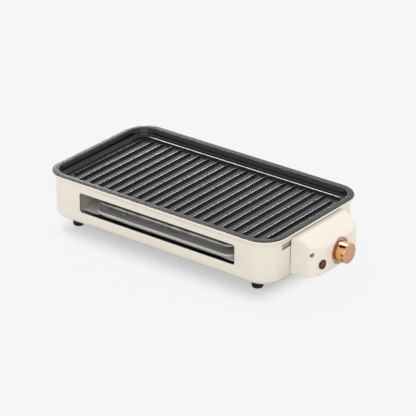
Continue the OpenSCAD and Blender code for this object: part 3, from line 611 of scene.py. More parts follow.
# The function that makes each finish, with the values it takes
MAKERS = {
    # Stoved polyester paint on pressed steel: satin, with the faint orange peel of a spray coat,
    # about 2.5 mm from swell to swell
    "stoved_paint": (clouded, "stoved_paint_cream_satin", "body_paint",
                     {"Roughness": 0.36, "IOR": 1.5, "Coat Weight": 0.7, "Coat Roughness": 0.22},
                     (60, 3.0), ((0.35, 0.985), (0.65, 1.0)), (2.5, 2.0, 0.012)),
    # ABS moulded in a polished tool: smooth satin gloss over a spark-eroded grain of 0.4 mm
    "moulded_cream": (clouded, "moulded_abs_cream", "box_plastic",
                      {"Roughness": 0.34, "IOR": 1.54, "Coat Weight": 0.1, "Coat Roughness": 0.2},
                      (35, 2.0), ((0.35, 0.985), (0.65, 1.0)), (0.4, 1.0, 0.004)),
    # Clear red polycarbonate with a wet gloss: the dark holder shows through it in 2.4 mm patches
    "lens_plastic": (clouded, "polycarbonate_lens_red", "lens_red",
                     {"Roughness": 0.2, "IOR": 1.58, "Specular IOR Level": 0.25},
                     (2.4, 1.0), ((0.35, 0.45), (0.65, 1.2))),
    "nonstick": (nonstick,),
    "zinc_sheet": (zinc_sheet,),
    "sheath_steel": (sheath_steel,),
    "copper_plating": (copper_plating,),
    "spun_copper": (spun_copper,),
    # Bare bright steel sheet of the tray and the rails
    "sheet_steel": (rolled_steel, "rolled_steel_bright", "steel", 0.72, 0.42),
    # Duller steel sheet of the liners and the brace, browned by the heat, with coarser lines
    "liner_sheet": (rolled_steel, "rolled_steel_heat_dulled", "liner", 0.5, 0.48),
    # Moulded nitrile rubber: matt, with a soft worn bloom
    "rubber": (plain_moulding, "nitrile_rubber_black", "rubber", 0.72, 1.52, 0.6, 0.02),
    # Moulded polyamide: fine matt spark texture
    "black_plastic": (plain_moulding, "polyamide_black", "black_plastic", 0.42, 1.53, 0.4, 0.01),
    # Fired steatite: chalky white, slightly gritty
    "steatite": (plain_moulding, "steatite_ceramic_white", "#E9E5DB", 0.6, 1.6, 0.5, 0.02),
    # PVC wire covering: smooth and waxy
    "wire_brown": (plain_moulding, "pvc_covering_brown", "#6B4128", 0.4, 1.53, 2, 0.02),
    "wire_blue": (plain_moulding, "pvc_covering_blue", "#2F5C9C", 0.4, 1.53, 2, 0.02),
    "wire_red": (plain_moulding, "pvc_covering_red", "#A83630", 0.4, 1.53, 2, 0.02),
    "wire_green": (plain_moulding, "pvc_covering_green", "#5F8F3A", 0.4, 1.53, 2, 0.02),
    # Zinc-plated steel screws: bright with a bluish haze
    "screw_steel": (plain_metal, "zinc_plated_screw", "#8E8C88", 0.36),
    # Drawn brass pins and nuts
    "brass": (plain_metal, "drawn_brass", "#CDAA5C", 0.28),
    # Drawn copper tube of the feeler
    "drawn_copper": (plain_metal, "drawn_copper", "#C98A62", 0.3),
}

# Finish of each CAD node that is carried over as it is
CARRIED = {
    "heater_bushes": "steatite", "heater_terminals": "screw_steel",
    "thermostat_body": "steatite", "thermostat_nut": "brass", "thermostat_spindle": "screw_steel",
    "knob_hub": "black_plastic", "sensor_clip": "sheet_steel",
    "lamp_body": "black_plastic", "terminal_block": "steatite", "thermal_fuse": "screw_steel",
    "earth_screw": "brass", "sensor_bulb": "drawn_copper", "capillary": "drawn_copper",
    "lead_live": "wire_brown", "lead_neutral": "wire_blue",
    "lead_lamp": "wire_red", "lead_earth": "wire_green", "heater_hangers": "sheet_steel",
    "heater_spacer_left": "sheath_steel", "heater_spacer_right": "sheath_steel",
    "inlet_pins": "brass",
}

# CAD nodes that get softened edges: finish, slot, edge radius in millimetres, and the nodes
SOFTENED = (
    ("sheet_steel", "bare_steel", 0.25, ("rail_left", "rail_right")),
    ("liner_sheet", "bare_steel", 0.25, ("liner_left", "liner_right", "liner_back")),
    ("liner_sheet", "bare_steel", 0.3, ("end_brace",)),
    ("sheet_steel", "bare_steel", 0.3, ("heater_plate",)),
    ("zinc_sheet", "base_steel", 0.3, ("base_plate",)),
    ("black_plastic", "black_plastic", 0.4, ("power_inlet",)),
    ("rubber", "gasket_rubber", 0.3, ("housing_gasket",)),
)


# Operators: the stage

# The camera's view: angles in degrees, distance and target in metres, lens in millimetres
CAMERA_AZIMUTH = 37.73
CAMERA_ELEVATION = 25.37
CAMERA_DISTANCE = 3.79334
CAMERA_LENS = 217.02
CAMERA_TARGET = Vector((-0.01619, 0.00262, 0.04589))
# Strength of the soft light that comes from the room's walls and ceiling
ROOM_STRENGTH = 1.34


class GRILL_OT_stage(bpy.types.Operator):
    """Make the floor, the soft light and the camera"""

    bl_idname = "grill.stage"
    bl_label = "Stage"

    def execute(self, context):
        scene = context.scene
        scene.view_settings.view_transform = "Standard"
        self.camera(scene)
        self.floor(scene)
        self.lights(scene)
        self.world(scene)
        return {"FINISHED"}

    def camera(self, scene):
        lens = bpy.data.cameras.new("camera")
        lens.lens = CAMERA_LENS
        lens.sensor_width = 36
        lens.clip_end = 50
        camera = bpy.data.objects.new("camera", lens)
        scene.collection.objects.link(camera)
        a, e = radians(CAMERA_AZIMUTH), radians(CAMERA_ELEVATION)
        back = Vector((sin(a) * cos(e), -cos(a) * cos(e), sin(e)))
        camera.location = CAMERA_TARGET + back * CAMERA_DISTANCE
        camera.rotation_euler = back.to_track_quat("Z", "Y").to_euler()
        scene.camera = camera

    def floor(self, scene):
        bm = bmesh.new()
        bmesh.ops.create_grid(bm, x_segments=8, y_segments=8, size=12)
        mesh = bpy.data.meshes.new("floor")
        bm.to_mesh(mesh)
        bm.free()
        # Matt paper sweep: plain and pale, with no gloss
        material, tree, shader, where = new_material("matt_paper_floor", {
            "Base Color": rgba(linear("#E2E2E3")), "Roughness": 1.0, "Specular IOR Level": 0.0})
        # To the camera, part of the sheet's tone is its own: its shadows stay as pale as in the photo
        seen = add(tree, "LightPath").outputs["Is Camera Ray"]
        # That painted glow grows with the distance from the grill's feet: a painted fade that keeps the
        # shadow close to them
        shift, half, none = (0.015, 0, 0), (0.175, 0.11, 0), (0, 0, 0)
        for operation, by in (("ADD", shift), ("ABSOLUTE", none), ("SUBTRACT", half),
                              ("MAXIMUM", none), ("LENGTH", none)):
            where = add(tree, "VectorMath", {"operation": operation, 1: by}, {0: where})
        reach, least, most = 0.036, (0.5, 0.5, 0.5), (0.97, 0.97, 0.97)
        glow_by_distance = add(tree, "ValToRGB", {"stops": ((0, least), (reach, most))},
                    {"Fac": where.outputs["Value"]})
        glow_share = add(tree, "Math", {"operation": "MULTIPLY"}, {0: seen, 1: glow_by_distance})
        # Painted glow: an emission in the floor's tone, seen by the camera only
        painted_glow = add(tree, "Emission", {"Color": rgba(linear("#F6F6F7"))})
        mix = add(tree, "MixShader", links={0: glow_share, 1: shader.outputs["BSDF"], 2: painted_glow})
        connect(tree, tree.nodes["Material Output"], {"Surface": mix})
        mesh.materials.append(material)
        floor = bpy.data.objects.new("floor", mesh)
        scene.collection.objects.link(floor)

    def lights(self, scene):
        # (name, direction it comes from, irradiance, angle of its disc in degrees)
        for name, source, strength, angle in (
            ("key", (-0.552, 0.31, 0.775), 1.25, 14),
            ("strip", (-0.655, 0.715, 0.25), 0.23, 8),
            ("side", (0.6, -0.7, 0.3), 0.55, 50),
        ):
            lamp = bpy.data.lights.new(name, "SUN")
            lamp.energy = strength
            lamp.angle = radians(angle)
            light = bpy.data.objects.new(name, lamp)
            light.rotation_euler = Vector(source).to_track_quat("Z", "Y").to_euler()
            scene.collection.objects.link(light)

    def world(self, scene):
        world = bpy.data.worlds.new("studio")
        scene.world = world
        world.use_nodes = True
        tree = world.node_tree
        where = add(tree, "TexCoord").outputs["Generated"]
        up = add(tree, "SeparateXYZ", links={"Vector": where}).outputs["Z"]
        # A pale wall all round that fades a little towards the ceiling
        tone = add(tree, "ValToRGB", {
            "stops": ((0.5, (0.86, 0.86, 0.865)), (0.8, (0.74, 0.74, 0.745)))}, {"Fac": up}).outputs[0]
        # Two round places on it: the way to each, and how bright it is at two cosines from that way
        for way, steps in (
            # A dark flag, high on the left in front of the grill: it draws the dark band on the knob
            ((-0.552, -0.215, 0.806),
             ((cos(radians(16)), (1, 1, 1)), (cos(radians(13)), (0.02, 0.02, 0.02)))),
            # A little brighter behind the grill's left end: that lies in the pan's gloss
            ((-0.552, 0.715, 0.428), ((0.5, (0.8, 0.8, 0.8)), (0.95, (0.9, 0.9, 0.9)))),
        ):
            near = add(tree, "VectorMath", {
                "operation": "DOT_PRODUCT", 1: Vector(way).normalized()}, {0: where})
            patch = add(tree, "ValToRGB", {"stops": steps}, {"Fac": near.outputs["Value"]})
            tone = add(tree, "Mix", {"data_type": "RGBA", "blend_type": "MULTIPLY", 0: 1.0},
                       {6: tone, 7: patch}).outputs[2]
        background = tree.nodes["Background"]
        background.inputs["Strength"].default_value = ROOM_STRENGTH
        connect(tree, background, {"Color": tone})


# Operators: the pieces

class GRILL_OT_shell(bpy.types.Operator):
    """Make the pressed steel body with its window, slot and rolled lip"""

    bl_idname = "grill.shell"
    bl_label = "Body shell"

    def execute(self, context):
        inset, sheet, flare, bend = size("wall_inset"), size("sheet"), size("flare"), size("lower_bend")
        half_x, half_y = wall_faces()
        corner = size("pan_corner") - inset
        low, lip_top = SHELL_LOW.z, SHELL_HIGH.z
        # How far inside the wall the flange ends, and how far outside the pan's rim the lip's edge is
        flange_edge, lip_over = -16, 0.9
        reach = inset + lip_over
        # How far inside the lip's edge the flare ends, on the sheet's outer and inner face
        outer_end, inner_end = 1.2, 2.4
        flare_z = lip_top - FLARE_DROP
        swing = degrees(acos(1 - (reach - outer_end) / flare))
        inner = flare + sheet
        inner_swing = degrees(acos((flare - reach + inner_end + sheet / 2) / inner))
        section = [(flange_edge, low)]
        section += arc(-bend, low + bend, bend, 270, 360, 14)
        section += arc(flare, flare_z, flare, 180, 180 - swing, 14)
        # The lip's edge turns up a little round the rim of the pan that lies on it
        edge_z = lip_top + 0.75
        section += fillet([(reach, lip_top - 2.2, 0.4), (reach, edge_z, 0.7),
                           (reach - 0.72, edge_z, 0.15), (reach - 0.78, lip_top, 0.1),
                           (reach - inner_end - sheet / 2, lip_top, 0.4),
                           (reach - 3.3, lip_top - 1.4, 0)], 4, closed=False)
        section += arc(flare, flare_z, inner, 180 - inner_swing, 180, 14)
        section += arc(-bend, low + bend, bend - sheet, 360, 270, 14)
        section += [(flange_edge, low + sheet)]
        bm = bmesh.new()
        ring(bm, section, half_x, half_y, corner, 28)
        bm = carve(bm, self.cutters(half_x, half_y))
        soften(bm, 0.3, angle=50)
        place("shell", bm, "stoved_paint", "body", ["body_shell"])
        return {"FINISHED"}

    def cutters(self, half_x, half_y):
        bm = bmesh.new()
        (left, bottom), (right, top) = WINDOW
        r = size("window_corner")
        outline = fillet([(left, bottom, r), (right, bottom, r), (right, top, r), (left, top, r)], 8)
        # The cutters reach past both faces of the walls
        past, inside = 10, 6
        prism(bm, outline, half_y - past, half_y + past, Matrix.Rotation(pi / 2, 4, "X"))
        for (y0, z0), (y1, z1) in (WALL_SLOT, BOX_OPENING):
            box(bm, (half_x - inside, y0, z0), (half_x + past, y1, z1))
        return bm


class GRILL_OT_pan(bpy.types.Operator):
    """Make the cast pan with its rim, floor and ribs"""

    bl_idname = "grill.pan"
    bl_label = "Grill pan"

    def execute(self, context):
        flange, depth, metal = size("pan_flange"), size("pan_depth"), size("pan_metal")
        top = RIM_HIGH.z
        floor = top - depth
        # The wall leans inwards by 3 mm and meets the floor in a round foot
        foot_in, foot_r = -flange - 3, 6.5
        foot_x, foot_z = foot_in - foot_r, floor + foot_r
        rim_metal, inner_rim = 1.5, -30
        under = top - rim_metal
        section = [(inner_rim, floor - metal)]
        section += list(reversed(arc(foot_x, foot_z, foot_r + metal, -8, -90, 10)))
        section += [(-flange + metal, under - 1.2), (-flange + metal + 0.8, under)]
        section += fillet([(-2, under, 0), (0, under, 0.3), (0, top, 0.6), (-flange, top, 0.45),
                           (-flange - 0.5, top - 2.0, 0)], 6, closed=False)
        section += arc(foot_x, foot_z, foot_r, 0, -90, 12)
        section += [(inner_rim, floor)]
        bm = bmesh.new()
        cap(bm, ring(bm, section, RIM_HIGH.x, RIM_HIGH.y, size("pan_corner"), 28, closed=False))
        self.ribs(bm, floor)
        place("pan", bm, "nonstick", "pan", ["grill_pan"], smooth=40)
        return {"FINISHED"}

    def ribs(self, bm, floor):
        count = bpy.context.scene.grill_sizes.rib_count
        half, high = size("rib_width") / 2, size("rib_height")
        # Section of half a rib: foot fillet, drafted side, rounded top
        section = [(0.9, floor - 1)]
        section += fillet([(0.9, floor + 0.02, 0), (-0.05, floor + 0.05, 0.7),
                           (-0.3, floor + high, 0.35), (-half, floor + high + 0.2, 0)], 6, closed=False)
        for i in range(count):
            half_y = size("end_rib_length" if i in (0, count - 1) else "rib_length") / 2
            offset = (i - (count - 1) / 2) * size("rib_pitch")
            ridge(bm, section, half, half_y, half, 8, (offset, 0, 0))


class GRILL_OT_tray(bpy.types.Operator):
    """Make the pressed drip tray with its rolled rim and beads"""

    bl_idname = "grill.tray"
    bl_label = "Drip tray"

    def execute(self, context):
        centre = (TRAY_LOW + TRAY_HIGH) / 2
        half_x, half_y = (TRAY_HIGH.x - TRAY_LOW.x) / 2, (TRAY_HIGH.y - TRAY_LOW.y) / 2
        low, top, sheet = TRAY_LOW.z, TRAY_HIGH.z, 0.8
        floor, inner_rim = low + sheet, -20
        section = fillet([(inner_rim, low, 0), (-4.8, low, 1.6), (-2.2, top - sheet, 0.5),
                          (-sheet, top - sheet, 0.3), (-sheet, top - 1.6, 0.1), (0, top - 1.6, 0.1),
                          (0, top, 1.4), (-4.2, top, 2.2), (-7.6, floor, 1.6),
                          (inner_rim, floor, 0)], 6, closed=False)
        bm = bmesh.new()
        cap(bm, ring(bm, section, half_x, half_y, size("tray_corner"), 20, closed=False))
        # Stiffening beads: a low round ridge each, that ends short of the tray's ends
        short, pitch, half_bead = 35, 34, 4.5
        bead = [(0, floor - 0.3), (0, floor + 0.02), (-1.2, floor + 0.5), (-2.4, floor + 0.85),
                (-3.4, floor + 0.98), (-half_bead, floor + 1.0)]
        for row in range(-2, 3):
            ridge(bm, bead, half_x - short, half_bead, half_bead, 10, (0, row * pitch, 0))
        bmesh.ops.translate(bm, vec=(centre.x, centre.y, 0), verts=bm.verts)
        place("tray", bm, "sheet_steel", "tray", ["drip_tray"], smooth=40)
        return {"FINISHED"}


class GRILL_OT_heater(bpy.types.Operator):
    """Make the sheathed heating element in one smooth tube"""

    bl_idname = "grill.heater"
    bl_label = "Heating element"

    def execute(self, context):
        # Height, the outer and inner runs' distance from the middle, and where their bends start
        z, run_out, run_in, left, right = 55, 96.5, 32, -106, 84
        mid, bend = (run_out + run_in) / 2, (run_out - run_in) / 2
        # The outer runs turn in at the right, and out again to the end wall, in bends of one radius
        corner, r = 118, 14
        end_x, exit_x = cad_box("heater_tube")[1].x, corner + 2 * r
        half = [(end_x, -run_in)]
        half += arc(exit_x, -run_in - r, r, 90, 180, 8)
        half += arc(corner, -run_out + r, r, 0, -90, 8)
        half += arc(left, -mid, bend, 270, 90, 24)
        half += arc(right, 0, run_in, -90, 0, 16)
        whole = half + [(x, -y) for x, y in reversed(half[:-1])]
        bm = bmesh.new()
        tube(bm, [(x, y, z) for x, y in whole], size("tube") / 2, 20)
        place("heater", bm, "sheath_steel", "body", ["heater_tube"])
        return {"FINISHED"}


class GRILL_OT_sheets(bpy.types.Operator):
    """Soften the edges of the inner sheet parts, the base plate, the gasket and the inlet"""

    bl_idname = "grill.sheets"
    bl_label = "Sheet parts"

    def execute(self, context):
        for stuff, slot, width, nodes in SOFTENED:
            for node in nodes:
                bm = from_node(node)
                soften(bm, width, angle=50)
                place(node + "_sheet", bm, stuff, "body", [node])
        return {"FINISHED"}


def round_max(a, b, r):
    """Distance to the common part of two solids, with the edge between them rounded."""
    return np.minimum(-r, np.maximum(a, b)) + np.hypot(np.maximum(r + a, 0), np.maximum(r + b, 0))


def net(distance, low, high, cell):
    """Points, faces and normals of the surface where a distance field is zero."""
    # The field at the points of a grid; a cell is active when its corners lie on both sides
    axes = [np.arange(a - cell, b + 2 * cell, cell) for a, b in zip(low, high)]
    grid = np.stack(np.meshgrid(*axes, indexing="ij"), -1)
    field = distance(grid)
    inside = field < 0
    shape = np.array(field.shape) - 1
    corners = [(i, j, k) for i in (0, 1) for j in (0, 1) for k in (0, 1)]
    edges = [(a, b) for a in corners for b in corners
             if sum(b) == sum(a) + 1 and all(x <= y for x, y in zip(a, b))]

    def shifted(values, c):
        return values[c[0]:c[0] + shape[0], c[1]:c[1] + shape[1], c[2]:c[2] + shape[2]]

    filled = sum(shifted(inside, c).astype(int) for c in corners)
    active = (filled > 0) & (filled < 8)
    index = np.full(shape, -1)
    index[active] = np.arange(active.sum())
    # Each active cell gets one point, in the middle of where the surface crosses its edges
    total, count = np.zeros((active.sum(), 3)), np.zeros((active.sum(), 1))
    for a, b in edges:
        fa, fb = shifted(field, a)[active][:, None], shifted(field, b)[active][:, None]
        pa, pb = shifted(grid, a)[active], shifted(grid, b)[active]
        cross = (fa < 0) != (fb < 0)
        share = np.where(cross, fa / np.where(cross, fa - fb, 1), 0)
        total += np.where(cross, pa + share * (pb - pa), 0)
        count += cross
    points = total / count
    # The points then move onto the surface
    for _ in range(4):
        normals = slope_of(distance, points)
        points -= np.clip(distance(points)[:, None], -cell / 2, cell / 2) * normals
    # One face joins the four cells round each grid line that passes through the surface
    faces = []
    for axis in range(3):
        u, v = [k for k in range(3) if k != axis]
        ahead = np.take(inside, range(1, inside.shape[axis]), axis)
        here = np.take(inside, range(inside.shape[axis] - 1), axis)
        for way in (True, False):
            spots = np.argwhere((here & ~ahead) if way else (ahead & ~here))
            quad = []
            for du, dv in ((-1, -1), (0, -1), (0, 0), (-1, 0)):
                cell_at = spots.copy()
                cell_at[:, u] += du
                cell_at[:, v] += dv
                quad.append(index[tuple(cell_at.T)])
            quad = np.array(quad).T
            turned = way if axis != 1 else not way
            faces.append(quad if turned else quad[:, ::-1])
    return points, np.concatenate(faces), slope_of(distance, points)


def slope_of(distance, points):
    """Unit gradient of a distance field at some points."""
    step = 0.02
    parts = []
    for axis in range(3):
        move = np.zeros(3)
        move[axis] = step
        parts.append(distance(points + move) - distance(points - move))
    gradient = np.stack(parts, -1)
    return gradient / np.maximum(1e-9, np.linalg.norm(gradient, axis=-1, keepdims=True))


class GRILL_OT_control_box(bpy.types.Operator):
    """Make the moulded control box with its recess, screw wells and lamp hole"""

    bl_idname = "grill.control_box"
    bl_label = "Control box"

    def execute(self, context):
        cell = 0.8
        points, faces, normals = net(self.distance, HOUSING_LOW, HOUSING_HIGH, cell)
        bm = bmesh.new()
        verts = [bm.verts.new(p) for p in points]
        for face in faces:
            bm.faces.new([verts[i] for i in face])
        place("control_box", bm, "moulded_cream", "body",
              ["control_housing"], normals=[tuple(n) for n in normals])
        return {"FINISHED"}

    def distance(self, p):
        """Distance from the moulding's surface, in millimetres; below zero inside the wall."""
        x, y, z = p[..., 0], p[..., 1], p[..., 2]
        wall, edge, flare = 2.4, size("box_edge"), size("flare")
        wall_x, flare_z = wall_faces()[0], SHELL_HIGH.z - FLARE_DROP
        back, bottom, top = HOUSING_LOW.x, HOUSING_LOW.z, HOUSING_HIGH.z
        back_x = wall_x + 2
        half = (HOUSING_HIGH.y - HOUSING_LOW.y) / 2
        curve, flat = size("panel_curve"), size("panel_flat") / 2
        face_x = HOUSING_HIGH.x
        away = np.abs(y - BOX_Y)
        panel = np.hypot(x - face_x + curve, np.maximum(away - flat, 0)) - curve
        # The sides lean inwards towards the panel, and a little towards the top
        taper, lean = radians(7.9), 0.017
        sides = (x - back_x) * sin(taper) + (away - half) * cos(taper) + lean * (z - bottom)
        # Long convex slope from the top down to the panel
        slope_start, slope_drop, slope_r = 6.7, 18.2, 150
        start, end = Vector((back_x + slope_start, top)), Vector((face_x + 1, top - slope_drop))
        chord = end - start
        drop = sqrt(slope_r ** 2 - chord.length_squared / 4)
        centre = (start + end) / 2 + drop * Vector((chord.y, -chord.x)) / chord.length
        slope = np.hypot(x - centre.x, z - centre.y) - slope_r
        form = round_max(panel, sides, size("box_corner"))
        form = round_max(form, slope, size("box_crease"))
        form = round_max(form, bottom - z, edge)
        form = round_max(form, z - top, edge)
        # The back is flat below the shell's flare and follows it above, half a millimetre away
        above = z - flare_z
        from_flare = np.hypot(np.minimum(x - wall_x - flare, 0), np.maximum(above, 0)) - flare + 0.5
        behind = np.maximum(np.minimum(back - x, -above), np.minimum(from_flare, above))
        outer = round_max(form, behind, 0.8)
        hollow = np.maximum(form + wall, back - 5 - x)
        # Bosses inside the hollow: behind the knob's recess, round each screw and round the lamp
        from_knob = np.hypot(y - KNOB_Y, z - KNOB_Z)
        recess_r, recess_x = size("recess") / 2, face_x - size("recess_depth")
        boss = np.maximum(from_knob - recess_r - wall, recess_x - wall - x)
        wells = [np.hypot(y - BOX_Y - side * SCREW_OFF, z - SCREW_Z) for side in (-1, 1)]
        boss_r, well_r, hole_r = 4.8, 3.7, 1.8
        for well in wells:
            boss = np.minimum(boss, well - boss_r)
        lens_r, lamp_x = size("lens") / 2, panel_out(LAMP_Y)
        lamp_wall, lamp_depth = 2.5, 7
        from_lamp = np.hypot(y - LAMP_Y, z - LAMP_Z)
        boss = np.minimum(boss, np.maximum(from_lamp - lens_r - lamp_wall, lamp_x - lamp_depth - x))
        shell = np.maximum(outer, -np.maximum(hollow, -boss))
        # Flat pad of the power inlet in the leaning rear side
        low, high = cad_box("power_inlet")
        from_x, from_z = np.abs(x - (low.x + high.x) / 2), np.abs(z - (low.z + high.z) / 2)
        pad_side, pad_half, pad_x, pad_z = BOX_Y + half, 2.1, 9, 15
        pad = np.maximum(from_x - pad_x, from_z - pad_z)
        shell = np.minimum(shell, np.maximum(pad, np.abs(y - pad_side + pad_half) - pad_half))
        # Recess of the knob with a groove round its floor, and the hole behind it
        spindle_hole_r, groove_in, groove_half, groove_depth = 5.1, 1.55, 1.25, 1.6
        shell = round_max(shell, -round_max(from_knob - recess_r, recess_x - x, 0.8), 0.9)
        groove = np.abs(from_knob - recess_r + groove_in) - groove_half
        shell = np.maximum(shell, -np.maximum(groove, recess_x - groove_depth - x))
        shell = np.maximum(shell, spindle_hole_r - from_knob)
        # Screw wells with a flat seat, and the screws' holes
        seat_depth = 4.2
        seat_x = panel_out(BOX_Y + SCREW_OFF) - seat_depth
        for well in wells:
            shell = round_max(shell, -np.maximum(well - well_r, seat_x - x), 0.6)
            shell = np.maximum(shell, hole_r - well)
        # Lamp hole and the seat of its bezel: how much wider than the lens, and how deep
        for wider, deep in ((0.5, 8), (1, 2)):
            shell = np.maximum(shell, -np.maximum(from_lamp - lens_r - wider, lamp_x - deep - x))
        # Opening of the power inlet in the rear side
        inlet_x, inlet_z, inlet_depth = 7.1, 12.1, 10
        inlet = np.maximum(from_x - inlet_x, from_z - inlet_z)
        return np.maximum(shell, -np.maximum(inlet, pad_side - inlet_depth - y))


def panel_out(y):
    """How far out the panel's surface lies at that y."""
    curve = size("panel_curve")
    off = max(0.0, abs(y - BOX_Y) - size("panel_flat") / 2)
    return HOUSING_HIGH.x - curve + sqrt(curve ** 2 - off ** 2)


class GRILL_OT_knob(bpy.types.Operator):
    """Make the plated knob and its spun face disc"""

    bl_idname = "grill.knob"
    bl_label = "Knob"

    def execute(self, context):
        r, deep = (KNOB_HIGH.z - KNOB_LOW.z) / 2, KNOB_HIGH.x - KNOB_LOW.x
        # The disc lies set back inside a thin rim
        wall, back = 1.2, 0.6
        floor = deep - back
        section = fillet([(r - wall, 0, 0.2), (r, 0, 0.4), (r, deep - 0.9, 0.25), (r - 0.9, deep, 0.25),
                          (r - 1.6, deep, 0.15), (r - 1.6, floor, 0.1), (0, floor, 0),
                          (0, floor - wall, 0), (r - wall, floor - wall, 0.5)], 5)
        bm = lathe(section, 128, along_x(KNOB_LOW.x, KNOB_Y, KNOB_Z), closed=True)
        place("knob_shell", bm, "copper_plating", "knob", ["knob"], smooth=25)
        face_r = r - 1.65
        face = fillet([(0, -0.5, 0), (face_r, -0.5, 0.05), (face_r, 0.35, 0.15), (0, 0.42, 0)], 4,
                      closed=False)
        bm = lathe(face, 128, along_x(KNOB_HIGH.x - back, KNOB_Y, KNOB_Z))
        place("knob_disc", bm, "spun_copper", "knob", ["knob_face"])
        return {"FINISHED"}


class GRILL_OT_lamp(bpy.types.Operator):
    """Make the lamp's domed lens and its black bezel"""

    bl_idname = "grill.lamp"
    bl_label = "Lamp"

    def execute(self, context):
        r = size("lens") / 2
        stand = along_x(panel_out(LAMP_Y), LAMP_Y, LAMP_Z)
        dome = [(0, -5), (r, -5), (r, 0.3)] + arc(r - 0.5, 0.3, 0.5, 0, 60, 3)
        dome += [(r - 1.4, 0.9), (r - 2.4, 1.05), (r - 3.6, 1.15), (0, 1.2)]
        place("lamp_dome", lathe(dome, 64, stand), "lens_plastic", "body", ["lamp_lens"])
        inner, outer = r + 0.02, r + 0.9
        bezel = fillet([(inner, -2, 0), (outer, -2, 0.1), (outer, 1.5, 0.4), (r + 0.3, 1.5, 0.2),
                        (inner, 1.0, 0.1)], 4)
        place("lamp_ring", lathe(bezel, 64, stand, closed=True), "black_plastic", "body",
              ["lamp_bezel"])
        return {"FINISHED"}


def screw(bm, head_r, head_h, shank_r, shank_l, matrix):
    """A screw: domed head with a cross recess looking up, and a shank below z = 0."""
    section = fillet([(0, -shank_l, 0), (shank_r, -shank_l, 0.3), (shank_r, 0, 0), (head_r, 0, 0.15),
                      (head_r, head_h * 0.55, 0.2), (head_r * 0.6, head_h, 0.6), (0, head_h, 0)],
                     4, closed=False)
    head = lathe(section, 32)
    width, reach = 0.125 * head_r, 0.62 * head_r
    for x, y in ((reach, width), (width, reach)):
        arm = bmesh.new()
        box(arm, (-x, -y, head_h * 0.35), (x, y, head_h + 1))
        head = carve(head, arm)
    bmesh.ops.transform(head, matrix=matrix, verts=head.verts)
    mesh = bpy.data.meshes.new("scratch")
    head.to_mesh(mesh)
    head.free()
    bm.from_mesh(mesh)
    bpy.data.meshes.remove(mesh)


class GRILL_OT_screws(bpy.types.Operator):
    """Make the screws of the control box, the base plate and the feet"""

    bl_idname = "grill.screws"
    bl_label = "Screws"

    def execute(self, context):
        # Radii of head and shank, and the heights of the domed and of the flat heads
        head_r, shank_r, tall, flat = 3.4, 1.7, 2.0, 1.4
        down = Matrix.Rotation(pi, 4, "X")
        low, high = cad_box("housing_screws")
        bm = bmesh.new()
        for side in (-1, 1):
            screw(bm, head_r, tall, shank_r, high.x - tall - low.x,
                  along_x(high.x - tall, BOX_Y + side * SCREW_OFF, SCREW_Z))
        place("box_screws", bm, "screw_steel", "body", ["housing_screws"])
        # The base plate's screws stand one distance inside the walls, two along each of them
        half_x, half_y = wall_faces()
        inside, long_x, short_y, shank_l = 12, 164, 48, 5
        low = cad_box("base_screws")[0]
        bm = bmesh.new()
        for sx, sy in QUARTERS:
            for x, y in ((sx * long_x, sy * (half_y - inside)), (sx * (half_x - inside), sy * short_y)):
                spot = Matrix.Translation((x, y, low.z + flat))
                screw(bm, head_r, flat, shank_r, shank_l, spot @ down)
        place("plate_screws", bm, "screw_steel", "body", ["base_screws"])
        low, high = cad_box("foot_screws")
        bm = bmesh.new()
        for sx, sy in QUARTERS:
            spot = Matrix.Translation((sx * FOOT_X, sy * FOOT_Y, low.z + tall))
            screw(bm, head_r, tall, shank_r, high.z - low.z - tall, spot @ down)
        place("feet_screws", bm, "screw_steel", "body", ["foot_screws"])
        return {"FINISHED"}


class GRILL_OT_feet(bpy.types.Operator):
    """Make the four rubber feet"""

    bl_idname = "grill.feet"
    bl_label = "Feet"

    def execute(self, context):
        # The screw's head sits in a wide well from below, its shank in a narrow hole
        well_r, well_top, hole_r = 4.0, 8, 1.75
        for name, sx, sy in (("front_left", -1, -1), ("front_right", 1, -1),
                             ("rear_left", -1, 1), ("rear_right", 1, 1)):
            low, high = cad_box("foot_" + name)
            r, top = (high.x - low.x) / 2, high.z
            section = fillet([(well_r, 0, 0.4), (r - 1.6, 0, 0.9), (r - 0.7, 3, 0.6),
                              (r - 0.5, top - 3.2, 0.4), (r, top - 2.6, 0.3), (r, top, 0),
                              (hole_r, top, 0), (hole_r, well_top, 0), (well_r, well_top, 0.2)], 5)
            bm = lathe(section, 64, Matrix.Translation((sx * FOOT_X, sy * FOOT_Y, 0)), closed=True)
            place("foot_" + name + "_rubber", bm, "rubber", "body", ["foot_" + name])
        return {"FINISHED"}


class GRILL_OT_folds(bpy.types.Operator):
    """Make the folded front edges of the end liners, which close the view beside the window"""

    bl_idname = "grill.folds"
    bl_label = "Liner folds"

    def execute(self, context):
        # Each fold starts just behind the front wall and ends inside its liner
        gap, overlap = 0.4, 0.2
        front, sheet = -wall_faces()[1] + size("sheet") + gap, size("liner_sheet")
        for side in ("left", "right"):
            low, high = cad_box("liner_" + side)
            x = high.x - sheet if side == "left" else low.x
            bm = bmesh.new()
            box(bm, (x, front, low.z + sheet), (x + sheet, low.y + overlap, high.z))
            soften(bm, 0.25)
            place("liner_fold_" + side, bm, "liner_sheet", "body")
        return {"FINISHED"}


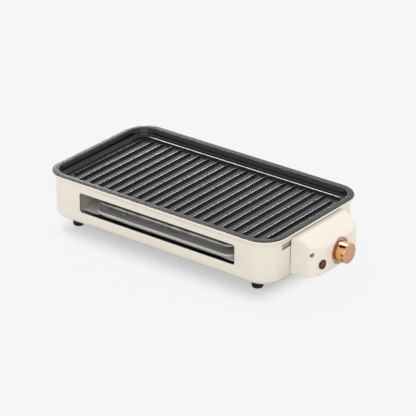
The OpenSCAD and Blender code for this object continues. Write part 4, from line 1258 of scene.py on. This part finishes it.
class GRILL_OT_carried(bpy.types.Operator):
    """Give the nodes that are carried over from the frame their finishes"""

    bl_idname = "grill.carried"
    bl_label = "Carried-over parts"

    def execute(self, context):
        for node, stuff in CARRIED.items():
            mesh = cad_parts[node].data
            mesh.materials.clear()
            mesh.materials.append(finish(stuff))
        return {"FINISHED"}


class GRILL_PT_panel(bpy.types.Panel):
    """The grill's operators, sizes and finishes"""

    bl_idname = "GRILL_PT_panel"
    bl_label = "Electric indoor grill"
    bl_space_type = "VIEW_3D"
    bl_region_type = "UI"
    bl_category = "Grill"

    def draw(self, context):
        layout = self.layout
        for step in STEPS:
            layout.operator(step.bl_idname)
        for group in (context.scene.grill_sizes, context.scene.grill_finishes):
            column = layout.column()
            for name in group.__annotations__:
                column.prop(group, name)


STEPS = (
    GRILL_OT_stage, GRILL_OT_shell, GRILL_OT_pan, GRILL_OT_tray, GRILL_OT_heater, GRILL_OT_sheets,
    GRILL_OT_control_box, GRILL_OT_knob, GRILL_OT_lamp, GRILL_OT_screws, GRILL_OT_feet,
    GRILL_OT_folds, GRILL_OT_carried,
)
CLASSES = (GrillSizes, GrillFinishes, *STEPS, GRILL_PT_panel)


def register():
    for cls in CLASSES:
        bpy.utils.register_class(cls)
    bpy.types.Scene.grill_sizes = PointerProperty(type=GrillSizes)
    bpy.types.Scene.grill_finishes = PointerProperty(type=GrillFinishes)


def unregister():
    del bpy.types.Scene.grill_finishes
    del bpy.types.Scene.grill_sizes
    for cls in reversed(CLASSES):
        bpy.utils.unregister_class(cls)


def corners(bounds):
    """Bounds as plain lists of numbers."""
    return [[float(v) for v in corner] for corner in bounds]


def main():
    register()
    bpy.ops.grill.stage()
    bpy.ops.grill.shell()
    bpy.ops.grill.pan()
    bpy.ops.grill.tray()
    bpy.ops.grill.heater()
    bpy.ops.grill.sheets()
    bpy.ops.grill.control_box()
    bpy.ops.grill.knob()
    bpy.ops.grill.lamp()
    bpy.ops.grill.screws()
    bpy.ops.grill.feet()
    bpy.ops.grill.folds()
    bpy.ops.grill.carried()


if __name__ == "__main__":
    main()
